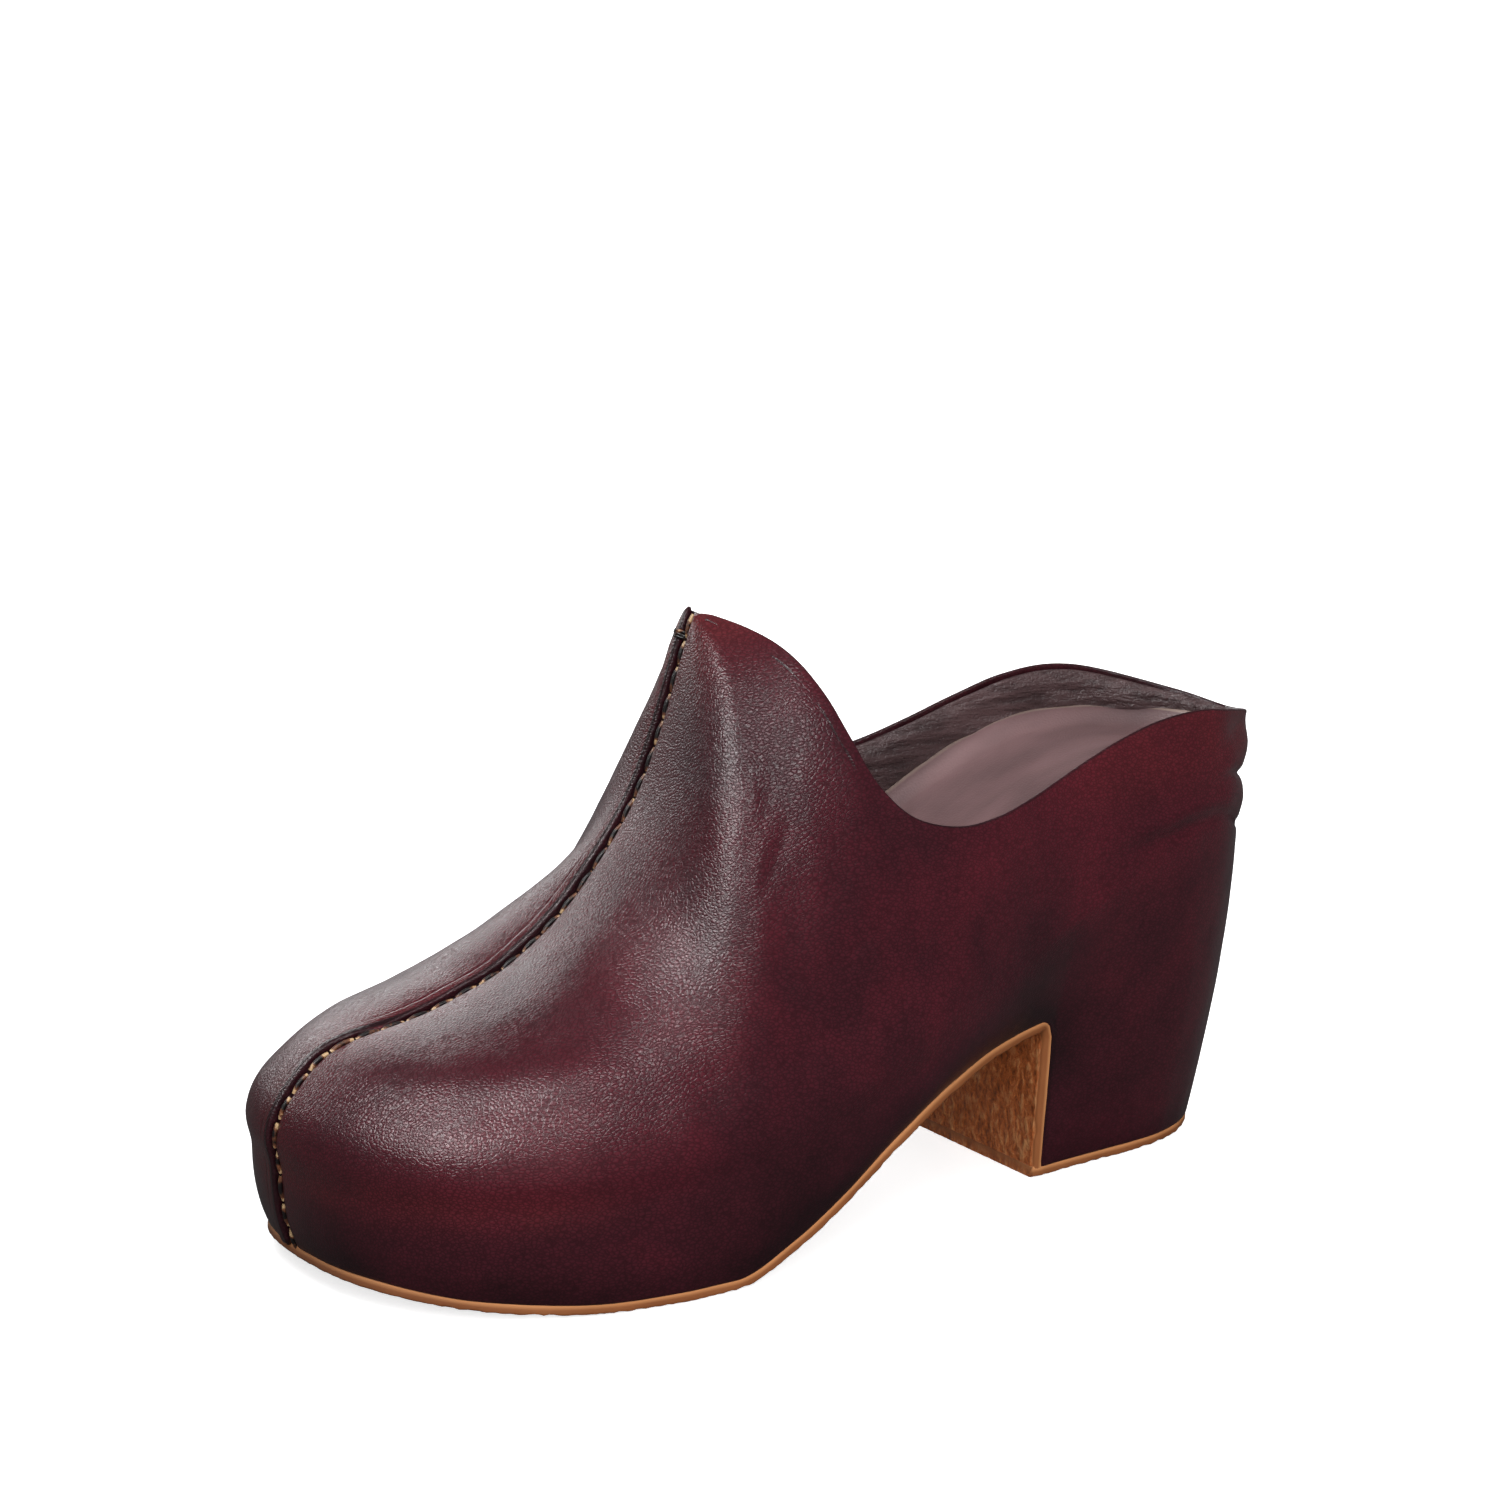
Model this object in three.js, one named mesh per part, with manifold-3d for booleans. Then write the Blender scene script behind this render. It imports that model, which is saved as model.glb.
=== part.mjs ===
// A left foot's platform clog: a carved wood sole with a block heel, covered in leather that is seamed
// down the middle of the vamp, lined inside and shod with a thin crepe outsole and a heel top lift.
// Millimetres. +Z is up, -Y is the toe, +X is the outer (lateral) side of the foot.
import * as THREE from "three";
import { mergeVertices } from "three/addons/utils/BufferGeometryUtils.js";
import Module from "manifold-3d";

const wasm = await Module();
wasm.setup();

// ---- driving dimensions ----
const GAP = 0.3; // between pieces that touch
const LEATHER = 1.4; // upper leather
const LINING = 0.9;
const STIFFENER = 0.8; // heel counter, and the room kept for all the stiffeners
const TOE_PUFF = 0.6;
const TAPE = 0.4;
const OUTSOLE = 2.5; // crepe sheet
const FOAM = 3.0;
const SOCK = 0.9;
const LASTING_MARGIN = 12; // leather turned under the wood
const BREAST_Y = 54; // front face of the heel, leather edge
const BREAST_STEP = 0.4; // run of the surface that turns down from the shank to the heel
const SEAM_HALF_GAP = 0.2; // half the gap between the two halves of the upper
const TOE = { x: -7, y: -120.5 };
const BACK_Y = 122; // feather line at the back of the heel
const CENTRE = { x: 3.35, y: 2.4 }; // middle of the clog's box, which becomes the origin

const STATIONS = 30; // along each side, toe to back
// Levels from sole edge to feather line. The shank's first bands are slivers, so that its other levels
// meet the taller heel's at the same heights.
const SHANK_LEVELS = [0, 0.01, 0.02, 0.35, 0.7, 1];
const HEEL_LEVELS = [0, 0.3, 0.608, 0.74, 0.88, 1];
const VAMP_LEVELS = [1, 1.06, 1.2, 1.35, 1.5, 1.64, 1.78, 1.9, 1.97, 2]; // from feather line to top edge

// ---- the form ----
// Each row is a station along one side, from the toe tip to the back of the heel:
// x and y of the feather line (the wood's upper edge), then x, y and z of the top edge, which runs up
// the middle of the vamp to the throat, down round the opening and along the collar.
const LATERAL = [
  [-7, -120.5, -5.8, -96, 50.5],
  [18, -117, -5.5, -89, 52.6],
  [39, -103, -5, -79, 56.2],
  [51, -82, -4.3, -66, 61.8],
  [55.3, -60, -3.5, -50, 75.2],
  [55.6, -48, -2.7, -33.5, 98.5],
  [55.3, -38, -2, -20.8, 134],
  [54.7, -30.5, 9.5, -14, 131],
  [53.9, -23, 20.5, -10, 126.6],
  [53, -15.5, 28.5, -6.4, 119.3],
  [52, -8, 34.8, -3.4, 110],
  [50.9, 0, 39.3, 0.6, 100.3],
  [49.3, 9, 42.2, 8, 92.6],
  [47.3, 19, 43, 19.5, 89.1],
  [44.4, 31, 41.8, 31, 89.6],
  [41.2, 43, 38.6, 43, 92],
  [38.4, 56, 35.2, 56, 95.7],
  [36.6, 69, 32.5, 69, 99.5],
  [35, 82, 30.6, 82, 102.3],
  [32.3, 94, 28.8, 95, 103],
  [26.5, 106.5, 24.7, 109, 100.6],
  [15.5, 117.3, 14.5, 122, 96.6],
  [0, 122, 0, 127, 94.3],
];
const MEDIAL = [
  [-7, -120.5, -5.8, -96, 50.5],
  [-27, -116.3, -6.1, -89, 52.6],
  [-41.5, -102.5, -5.6, -79, 56.2],
  [-48, -82, -4.7, -66, 61.8],
  [-49, -60, -3.7, -50, 75.2],
  [-48, -48, -2.9, -33.5, 98.5],
  [-47, -38, -2, -20.8, 134],
  [-46, -30.5, -11, -14, 127.5],
  [-45, -23, -19.5, -9.5, 120],
  [-44, -15.5, -26.5, -5, 111.5],
  [-43, -8, -32, -1.3, 103.5],
  [-42, 0, -35.6, 2.8, 96.5],
  [-41, 9, -37.6, 9.8, 91.8],
  [-40, 19, -38.3, 19.5, 89.6],
  [-39, 31, -38, 31, 88.8],
  [-38, 43, -37, 43, 89.3],
  [-37, 56, -34.5, 56, 93.5],
  [-36, 69, -32.3, 69, 98.4],
  [-34.6, 82, -30.4, 82, 102.5],
  [-32, 94, -28.4, 95, 103.9],
  [-26.5, 106.5, -24, 109, 101.6],
  [-15.5, 117.3, -14, 122, 96.8],
  [0, 122, 0, 127, 94.3],
];
const LAST_STATION = LATERAL.length - 1;
const THROAT = 6; // station of the throat, where the seam ends and the opening begins
const SIDE_SEAM = 13.5; // station of the lining's side seams

// Profiles along the length, as [y, value].
const WOOD_TOP = [
  [-121, 27], [-85, 27], [-55, 28.5], [-30, 31.5], [0, 40],
  [30, 53], [60, 64.5], [85, 72.5], [105, 77], [122, 79],
];
const FOOTBED = [ // the sock's edge
  [-121, 33], [-85, 32], [-55, 33], [-30, 37], [0, 47], [30, 62],
  [52, 75.5], [64, 82.5], [75, 87.5], [86, 90.7], [98, 91.7], [122, 91],
];
const DISH = [[-121, 0.5], [-60, 1.5], [0, 1.5], [60, 2.5], [122, 3]]; // footbed's middle below its edge
const SOLE_LIFT = [ // the outsole's lower face
  [-121, 4.5], [-100, 2], [-80, 0.5], [-66, 0], [-44, 0], [-28, 5.6],
  [-14, 13.1], [1, 22.3], [17, 29.8], [34, 34.4], [50, 35.8], [54, 35.9],
];
const SHANK_INSET = [[-121, 3], [-60, 2], [0, 2.6], [30, 5], [54, 7.2]]; // sole edge inside feather line
const SHANK_POWER = [[-121, 3], [-20, 3], [54, 1.15]]; // how low the wall turns in
const HEEL_TAPER = 3.6; // how far the heel's front narrows from shank to floor
const HEEL_BACK = { inset: 10, power: 1.7 };
const HEEL_BLEND = [[54, 0], [94, 1]]; // from the shank's wall to the heel back's
const WALL_TURN = [[-10, 1], [25, 0], [78, 0], [108, 1]]; // 0: the wall moves in straight across the clog
const ARCH_LATERAL = [ // fullness of the vamp and collar: 2 is an ellipse's quarter, 1 a straight slope
  [-121, 2.1], [-100, 2.2], [-82, 2.4], [-62, 2.1], [-48, 1.75], [-25, 1.6], [0, 1.75], [30, 2], [122, 2],
];
const ARCH_MEDIAL = [
  [-121, 2.1], [-100, 2], [-82, 2], [-62, 1.75], [-48, 1.2], [-30, 1.07], [0, 1.45], [30, 2], [122, 2],
];
const ARCH_TURN = [ // share of a quarter turn from feather line to top edge: 1 ends level
  [-121, 1], [-50, 1], [-38, 0.97], [-23, 0.85], [0, 0.7], [30, 0.55], [122, 0.5],
];

// Monotone cubic through [y, value] points, flat beyond the ends.
function ramp(points, y) {
  const last = points.length - 1;
  if (y <= points[0][0]) return points[0][1];
  if (y >= points[last][0]) return points[last][1];
  let i = 0;
  while (y > points[i + 1][0]) i++;
  const step = (k) => points[k + 1][0] - points[k][0];
  const rise = (k) => (points[k + 1][1] - points[k][1]) / step(k);
  const slope = (k) => {
    if (k === 0) return rise(0);
    if (k === last) return rise(last - 1);
    if (rise(k - 1) * rise(k) <= 0) return 0;
    const before = 2 * step(k) + step(k - 1);
    const after = step(k) + 2 * step(k - 1);
    return (before + after) / (before / rise(k - 1) + after / rise(k));
  };
  const h = step(i);
  const t = (y - points[i][0]) / h;
  return hermite(points[i][1], points[i + 1][1], h * slope(i), h * slope(i + 1), t);
}

function hermite(a, b, da, db, t) {
  const t2 = t * t;
  const t3 = t2 * t;
  return (2 * t3 - 3 * t2 + 1) * a + (t3 - 2 * t2 + t) * da + (3 * t2 - 2 * t3) * b + (t3 - t2) * db;
}

// A side's station row at any place u between stations, by a Catmull-Rom spline. Both outlines cross
// the middle squarely at the back, and so does the feather line at the toe. The top edge has a corner
// at the throat.
function stationRow(rows, u) {
  const i = Math.min(Math.floor(u), rows.length - 2);
  const squareAtToe = [1];
  const squareAtBack = [1, 3, 4];
  const topEdge = [2, 3, 4];
  const tangent = (k, c) => {
    if (k === 0) return squareAtToe.includes(c) ? 0 : rows[1][c] - rows[0][c];
    if (k === rows.length - 1) return squareAtBack.includes(c) ? 0 : rows[k][c] - rows[k - 1][c];
    if (k === THROAT && topEdge.includes(c)) return rows[i + 1][c] - rows[i][c];
    return (rows[k + 1][c] - rows[k - 1][c]) / 2;
  };
  return rows[0].map((_, c) => hermite(rows[i][c], rows[i + 1][c], tangent(i, c), tangent(i + 1, c), u - i));
}

const SEAM_LEAN = 0.05; // how fast the middle seam nears the clog's middle on its way from the toe
const seamX = (y) => Math.min(0, TOE.x + SEAM_LEAN * (y - TOE.y)); // plane of the middle seam
const FLOOR_Z = OUTSOLE + GAP; // the heel's leather edge
const shankZ = (y) => ramp(SOLE_LIFT, y) + OUTSOLE + GAP; // the leather edge ahead of the heel

// How far inside the feather line the wall is at height z.
function wallInset(y, z) {
  const top = ramp(WOOD_TOP, y);
  const shank = shankZ(y);
  const share = (low) => Math.min(1, Math.max(0, (top - z) / (top - low)));
  const below = Math.max(0, shank - z) / Math.max(shank - FLOOR_Z, 1);
  const front = ramp(SHANK_INSET, y) * share(shank) ** ramp(SHANK_POWER, y) + HEEL_TAPER * below;
  const back = HEEL_BACK.inset * share(FLOOR_Z) ** HEEL_BACK.power;
  return front + (back - front) * ramp(HEEL_BLEND, y);
}

const NEAR = 0.01; // step in u or v for slopes
const HELD_APART = { seamGap: SEAM_HALF_GAP };
const WHOLE = { seamGap: 0 }; // for a piece that passes over the middle in one
const FREE = { seamGap: -50 }; // for a piece that the middle seam doesn't bound

// A side of the clog as a smooth surface of u (station) and v: 0 at the sole edge, 1 at the feather
// line, 2 at the top edge. heel says whether the station is on the heel, behind breast, and lift raises
// the lower edge.
function sidePoint(side, u, v, { breast = BREAST_Y, heel, lift = 0 } = {}) {
  const rows = rowsOf(side);
  const [fx, fy, tx, ty, tz] = stationRow(rows, u);
  const ahead = stationRow(rows, Math.min(u + NEAR, LAST_STATION));
  const behind = stationRow(rows, Math.max(u - NEAR, 0));
  const along = new THREE.Vector2(ahead[0] - behind[0], ahead[1] - behind[1]).normalize();
  const inward = new THREE.Vector2(-along.y * side, along.x * side * ramp(WALL_TURN, fy)).normalize();
  if (u === 0 || u === LAST_STATION) inward.set(0, u === 0 ? 1 : -1);
  const woodTop = ramp(WOOD_TOP, fy);
  if (v <= 1) {
    const edge = ((heel ?? fy > breast) ? FLOOR_Z : shankZ(fy)) + lift;
    const z = edge + (woodTop - edge) * v;
    const inset = wallInset(fy, z);
    return new THREE.Vector3(fx + inward.x * inset, fy + inward.y * inset, z);
  }
  const power = 2 / ramp(side > 0 ? ARCH_LATERAL : ARCH_MEDIAL, fy);
  const end = (ramp(ARCH_TURN, fy) * Math.PI) / 2;
  const turn = end * (v - 1);
  const across = (1 - Math.cos(turn) ** power) / (1 - Math.max(Math.cos(end), 0) ** power);
  const up = (Math.sin(turn) / Math.sin(end)) ** power;
  return new THREE.Vector3(fx + (tx - fx) * across, fy + (ty - fy) * across, woodTop + (tz - woodTop) * up);
}

const rowsOf = (side) => (side > 0 ? LATERAL : MEDIAL);
const onHeel = (side, u, breast = BREAST_Y) => stationRow(rowsOf(side), u)[1] > breast;
const wallLevels = (side, u, breast) => (onHeel(side, u, breast) ? HEEL_LEVELS : SHANK_LEVELS);

// The same surface moved inwards by depth, and held on its own side of the middle seam.
function offsetPoint(side, u, v, depth, options = {}) {
  const p = sidePoint(side, u, v, options);
  if (depth !== 0) {
    const [u0, u1] = [Math.max(u - 2 * NEAR, 0), Math.min(u + 2 * NEAR, LAST_STATION)];
    const low = v <= 1 ? 0 : 1;
    const [v0, v1] = [Math.max(v - 2 * NEAR, low), Math.min(v + 2 * NEAR, low + 1)];
    const heel = onHeel(side, u, options.breast);
    const du = sidePoint(side, u1, v, { ...options, heel }).sub(sidePoint(side, u0, v, { ...options, heel }));
    const dv = sidePoint(side, u, v1, { ...options, heel }).sub(sidePoint(side, u, v0, { ...options, heel }));
    const out = du.cross(dv).multiplyScalar(side);
    if (u === 0 || u === LAST_STATION) out.x = 0;
    out.normalize();
    p.addScaledVector(out, -depth);
  }
  const margin = options.seamGap ?? HELD_APART.seamGap;
  const edge = seamX(p.y) + side * margin;
  if (side > 0 ? p.x < edge : p.x > edge) p.x = edge;
  return p;
}

// ---- meshes ----
// A closed body between two grids of the same size, with points that fall together merged.
function bodyBetween(outer, inner) {
  const rows = outer.length;
  const cols = outer[0].length;
  const points = [];
  const triangles = [];
  const quad = (a, b, c, d) => {
    for (const t of [[a, b, c], [a, c, d]]) triangles.push(t);
  };
  const put = (grid) => grid.map((row) => row.map((p) => points.push(p) - 1));
  const [o, n] = [put(outer), put(inner)];
  for (let i = 0; i + 1 < rows; i++) {
    for (let j = 0; j + 1 < cols; j++) {
      quad(o[i][j], o[i + 1][j], o[i + 1][j + 1], o[i][j + 1]);
      quad(n[i][j], n[i][j + 1], n[i + 1][j + 1], n[i + 1][j]);
    }
    quad(o[i][0], n[i][0], n[i + 1][0], o[i + 1][0]);
    quad(o[i + 1][cols - 1], n[i + 1][cols - 1], n[i][cols - 1], o[i][cols - 1]);
  }
  for (let j = 0; j + 1 < cols; j++) {
    quad(o[0][j + 1], n[0][j + 1], n[0][j], o[0][j]);
    quad(o[rows - 1][j], n[rows - 1][j], n[rows - 1][j + 1], o[rows - 1][j + 1]);
  }
  return solidFrom(points, triangles);
}

const MERGE = 1e-3; // points closer than this are one

// Triangles as a manifold-3d solid that faces out.
function solidFrom(points, triangles) {
  const geometry = new THREE.BufferGeometry().setFromPoints(points);
  geometry.setIndex(triangles.flat());
  const merged = mergeVertices(geometry, MERGE);
  const index = Array.from(merged.index.array);
  const kept = [];
  for (let i = 0; i < index.length; i += 3) {
    const [a, b, c] = index.slice(i, i + 3);
    if (a !== b && b !== c && a !== c) kept.push(a, b, c);
  }
  const make = (list) => new wasm.Manifold(new wasm.Mesh({
    numProp: 3,
    vertProperties: merged.attributes.position.array,
    triVerts: new Uint32Array(list),
  }));
  const made = make(kept);
  if (made.volume() > 0) return made;
  const turned = [];
  for (let i = 0; i < kept.length; i += 3) turned.push(kept[i], kept[i + 2], kept[i + 1]);
  return make(turned);
}

function solidOf(geometry) {
  const bare = geometry.index ? geometry.toNonIndexed() : geometry;
  const position = bare.getAttribute("position");
  const count = position.count;
  const point = (_, i) => new THREE.Vector3().fromBufferAttribute(position, i);
  const points = Array.from({ length: count }, point);
  const triangles = Array.from({ length: count / 3 }, (_, i) => [3 * i, 3 * i + 1, 3 * i + 2]);
  return solidFrom(points, triangles);
}

function geometryOf(solid) {
  const { vertProperties, triVerts, numProp } = solid.getMesh();
  const positions = new Float32Array((vertProperties.length / numProp) * 3);
  for (let i = 0; i < positions.length / 3; i++) {
    positions.set(vertProperties.subarray(i * numProp, i * numProp + 3), i * 3);
  }
  return new THREE.BufferGeometry()
    .setAttribute("position", new THREE.BufferAttribute(positions, 3))
    .setIndex(new THREE.BufferAttribute(triVerts, 1));
}

function steps(from, to, count) {
  return Array.from({ length: count + 1 }, (_, i) => from + ((to - from) * i) / count);
}

// The station at which a side's feather line crosses y.
function stationAt(side, y) {
  let [low, high] = [1, LAST_STATION];
  for (let i = 0; i < 40; i++) {
    const mid = (low + high) / 2;
    if (stationRow(rowsOf(side), mid)[1] < y) low = mid;
    else high = mid;
  }
  return (low + high) / 2;
}

// Stations from toe to back, with one close pair where the shank turns down to the heel at breast.
function stationsFor(side, breast, count = STATIONS) {
  const before = stationAt(side, breast - BREAST_STEP / 2);
  const after = stationAt(side, breast + BREAST_STEP / 2);
  const front = Math.round((count * before) / LAST_STATION);
  return [...steps(0, before, front), ...steps(after, LAST_STATION, count - front - 1)];
}

// ---- the upper ----
// One half of the upper: from the middle of the vamp to the back seam, and under the wood by the margin.
function upperHalf(side) {
  const face = (depth) => {
    const breast = BREAST_Y + depth;
    return stationsFor(side, breast).map((u) => {
      const turned = [1, 0.5].map((share) => underneath(side, u, share * LASTING_MARGIN, depth, breast));
      const raised = { breast, lift: depth };
      const wall = wallLevels(side, u, breast).map((v) => offsetPoint(side, u, v, depth, raised));
      const vamp = VAMP_LEVELS.slice(1).map((v) => offsetPoint(side, u, v, depth));
      return [...turned, ...wall, ...vamp];
    });
  };
  return bodyBetween(face(0), face(LEATHER));
}

const PLEATED = { toe: 30, heel: 40 }; // lengths at the ends where the margin turns towards one place

// A point of the turned-under margin, in from the sole edge by reach.
function underneath(side, u, reach, depth, breast = BREAST_Y) {
  const edge = sidePoint(side, u, 0, { breast });
  const middleY = Math.min(Math.max(edge.y, TOE.y + PLEATED.toe), BACK_Y - PLEATED.heel);
  const way = new THREE.Vector3(seamX(edge.y) - edge.x, middleY - edge.y, 0);
  const room = way.length();
  const p = edge.addScaledVector(way.normalize(), Math.min(reach + depth, room - 1));
  p.z = (onHeel(side, u, breast) ? FLOOR_Z : shankZ(Math.min(p.y, BREAST_Y))) + depth;
  const limit = seamX(p.y) + side * SEAM_HALF_GAP;
  if (side > 0 ? p.x < limit : p.x > limit) p.x = limit;
  return p;
}

// The stations that the layers inside the upper share with its inner face.
const LINING_STATIONS = { 1: stationsFor(1, BREAST_Y + LEATHER), [-1]: stationsFor(-1, BREAST_Y + LEATHER) };
const stationsBetween = (side, from, to) => LINING_STATIONS[side].filter((u) => u >= from && u <= to);
const levelsBetween = (from, to) => VAMP_LEVELS.filter((v) => v >= from && v <= to);

const INSIDE = LEATHER + GAP; // depth of the first layer inside the upper

const LINING_LEVELS = [1.05, 1.98]; // from below the footbed to just under the opening's edge
const STIFFENER_LEVELS = [1.05, 1.8];
const CLOSING_LEVELS = [1.9, 1.97]; // where the lining closes up to the leather
const TOE_PUFF_END = 4; // stations
const COUNTER_START = 17;

// The lining passes inside the stiffeners, and closes up to the leather along the opening.
function liningDepth(u, v) {
  const [from, to] = CLOSING_LEVELS;
  const besideOpening = u > THROAT + 0.3;
  const clear = besideOpening ? Math.min(1, Math.max(0, (to - v) / (to - from))) : 1;
  return INSIDE + (STIFFENER + GAP) * clear;
}

function patch(side, stations, levels, depth, options = {}) {
  return stations.map((u) => levels.map((v) => offsetPoint(side, u, v, depth(u, v), options)));
}

function vampLining(side) {
  const stations = stationsBetween(side, 0, SIDE_SEAM - 0.2);
  const levels = levelsBetween(...LINING_LEVELS);
  const face = (extra) => patch(side, stations, levels, (u, v) => liningDepth(u, v) + extra);
  return bodyBetween(face(0), face(LINING));
}

// A layer that passes round the toe or the heel in one piece.
function aroundEnd(from, to, levels, depth) {
  const half = (side) => patch(side, stationsBetween(side, from, to), levels, depth, WHOLE);
  if (from > 0) return [...half(1), ...half(-1).reverse().slice(1)];
  return [...half(1).reverse(), ...half(-1).slice(1)];
}

function heelLining() {
  const levels = levelsBetween(...LINING_LEVELS);
  const face = (extra) => aroundEnd(SIDE_SEAM, LAST_STATION, levels, (u, v) => liningDepth(u, v) + extra);
  return bodyBetween(face(0), face(LINING));
}

// A moulded cap round the toes.
function toePuff() {
  const levels = levelsBetween(...STIFFENER_LEVELS);
  const face = (extra) => aroundEnd(0, TOE_PUFF_END, levels, () => INSIDE + extra);
  return bodyBetween(face(0), face(TOE_PUFF));
}

// A moulded cup round the back of the heel.
function heelCounter() {
  const levels = levelsBetween(...STIFFENER_LEVELS);
  const face = (extra) => aroundEnd(COUNTER_START, LAST_STATION, levels, () => INSIDE + extra);
  return bodyBetween(face(0), face(STIFFENER));
}

// Reinforcing tape under the middle seam, from behind the toe puff to the throat.
function frontSeamTape() {
  const sideEdge = 1.9; // level of the tape's edges
  const face = (depth) => LINING_STATIONS[1].filter((u) => u > 1 && u < THROAT - 0.1).map((u) => [
    offsetPoint(1, u, sideEdge, depth, WHOLE),
    offsetPoint(1, u, 2, depth, WHOLE),
    offsetPoint(-1, u, sideEdge, depth, WHOLE),
  ]);
  return bodyBetween(face(INSIDE), face(INSIDE + TAPE));
}

// ---- the sole ----
const REBATE_ROWS = 2; // rings of the wood above the feather line
// The level, above the feather line, at which a station's outer face reaches height z.
function levelAt(side, u, z) {
  let [low, high] = [1, 1.98];
  for (let i = 0; i < 30; i++) {
    const mid = (low + high) / 2;
    if (sidePoint(side, u, mid).z < z) low = mid;
    else high = mid;
  }
  return (low + high) / 2;
}

const REBATE_DEPTH = INSIDE + STIFFENER + GAP + LINING + 2 * GAP; // clear of the lining
const FOOTBED_DEPTH = REBATE_DEPTH + 1.4; // clear of the lining where it leans in
const dishAt = (y, t) => ramp(DISH, y) * Math.sin(Math.PI * t);

// A line across the footbed from the lateral to the medial lining, below the sock's face by drop.
function acrossFootbed(uL, uM, drop, across) {
  const ends = [[1, uL], [-1, uM]].map(([side, u]) => {
    const z = ramp(FOOTBED, stationRow(rowsOf(side), u)[1]) - drop;
    const end = offsetPoint(side, u, levelAt(side, u, z), FOOTBED_DEPTH, FREE);
    end.z = z;
    return end;
  });
  return steps(0, 1, across).map((t) => {
    const p = ends[0].clone().lerp(ends[1], t);
    p.z -= dishAt(p.y, t);
    return p;
  });
}

const FOOTBED_ROWS = 26;
const FOOTBED_ENDS = [0.5, LAST_STATION - 0.7];

// A sheet of the footbed between two depths below the sock's face.
function footbedLayer(top, bottom) {
  const stations = steps(...FOOTBED_ENDS, FOOTBED_ROWS);
  const face = (drop) => stations.map((u) => acrossFootbed(u, u, drop, 6));
  return bodyBetween(face(top), face(bottom));
}

// Wood block: side rings from the sole edge to the feather line, a rebate for the lining above it,
// and a dished top under the footbed.
function woodSole() {
  const skin = INSIDE;
  const breast = BREAST_Y + skin + 2 * GAP;
  const [uL, uM] = [stationsFor(1, breast), stationsFor(-1, breast)];
  const count = uL.length;
  const drop = SOCK + FOAM + 2 * GAP;
  const top = (side, u) => ramp(FOOTBED, stationRow(rowsOf(side), u)[1]) - drop;
  const sideAt = (side, i, level) => {
    const u = (side > 0 ? uL : uM)[i];
    const free = { breast, lift: skin, ...FREE };
    if (level < HEEL_LEVELS.length) {
      return offsetPoint(side, u, wallLevels(side, u, breast)[level], skin, free);
    }
    const share = (level - HEEL_LEVELS.length) / REBATE_ROWS;
    const foot = sidePoint(side, u, 1).z;
    const z = foot + (Math.max(top(side, u), foot + 0.2) - foot) * share;
    const p = offsetPoint(side, u, levelAt(side, u, z), REBATE_DEPTH, free);
    p.z = z;
    return p;
  };
  const levels = [...Array(HEEL_LEVELS.length + REBATE_ROWS + 1).keys()];
  const rings = levels.map((level) => [
    ...Array.from({ length: count }, (_, i) => sideAt(1, i, level)),
    ...Array.from({ length: count - 2 }, (_, i) => sideAt(-1, count - 2 - i, level)),
  ]);
  const size = rings[0].length;
  const points = rings.flat();
  const triangles = [];
  for (let r = 0; r + 1 < rings.length; r++) {
    for (let i = 0; i < size; i++) {
      const [a, b] = [r * size + i, r * size + ((i + 1) % size)];
      const lateral = i < count - 1;
      if (lateral) triangles.push([a, b, b + size], [a, b + size, a + size]);
      else triangles.push([a, b, a + size], [b, b + size, a + size]);
    }
  }
  const cap = (r, up) => {
    const across = 6;
    const left = (i) => r * size + i;
    const right = (i) => (i === 0 || i === count - 1 ? left(i) : r * size + size - i);
    const inner = Array.from({ length: count }, (_, i) => steps(0, 1, across).map((t) => {
      if (t === 0) return left(i);
      if (t === 1) return right(i);
      const p = points[left(i)].clone().lerp(points[right(i)], t);
      if (up && i > 0 && i < count - 1) p.z -= dishAt(p.y, t);
      return points.push(p) - 1;
    }));
    for (let i = 0; i + 1 < count; i++) {
      for (let j = 0; j < across; j++) {
        const q = [inner[i][j], inner[i + 1][j], inner[i + 1][j + 1], inner[i][j + 1]];
        const order = up ? [[0, 1, 2], [0, 2, 3]] : [[2, 1, 0], [3, 2, 0]];
        for (const t of order) triangles.push(t.map((k) => q[k]));
      }
    }
  };
  cap(0, false);
  cap(rings.length - 1, true);
  return solidFrom(points, triangles);
}

const SHEET_INSET = 0.4; // the crepe's edge inside the leather's
const SHEET_BACK_Y = BREAST_Y - GAP - BREAST_STEP / 2; // back of the sheet that covers the heel's front

// The outsole follows the sole edge from the toe along the shank, and turns down the heel's front face.
function outsole() {
  const rows = (lift) => steps(0, 1, 30).map((t) => {
    const [u1, u2] = [1, -1].map((side) => stationAt(side, BREAST_Y - BREAST_STEP) * t);
    return steps(0, 1, 4).map((s) => acrossSole(u1, u2, s, lift));
  });
  const down = (set) => steps(0, 1, 5).map((t) => {
    const z = shankZ(BREAST_Y) - GAP - (1 - set) * OUTSOLE;
    const [l, m] = [breastEdge(1, t), breastEdge(-1, t)];
    return steps(0, 1, 4).map((s) => {
      const p = l.clone().lerp(m, s);
      p.y = SHEET_BACK_Y - (1 - set) * OUTSOLE;
      p.z = z + (FLOOR_Z - z) * t;
      return p;
    });
  });
  return bodyBetween([...rows(OUTSOLE), ...down(1)], [...rows(0), ...down(0)]);
}

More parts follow.
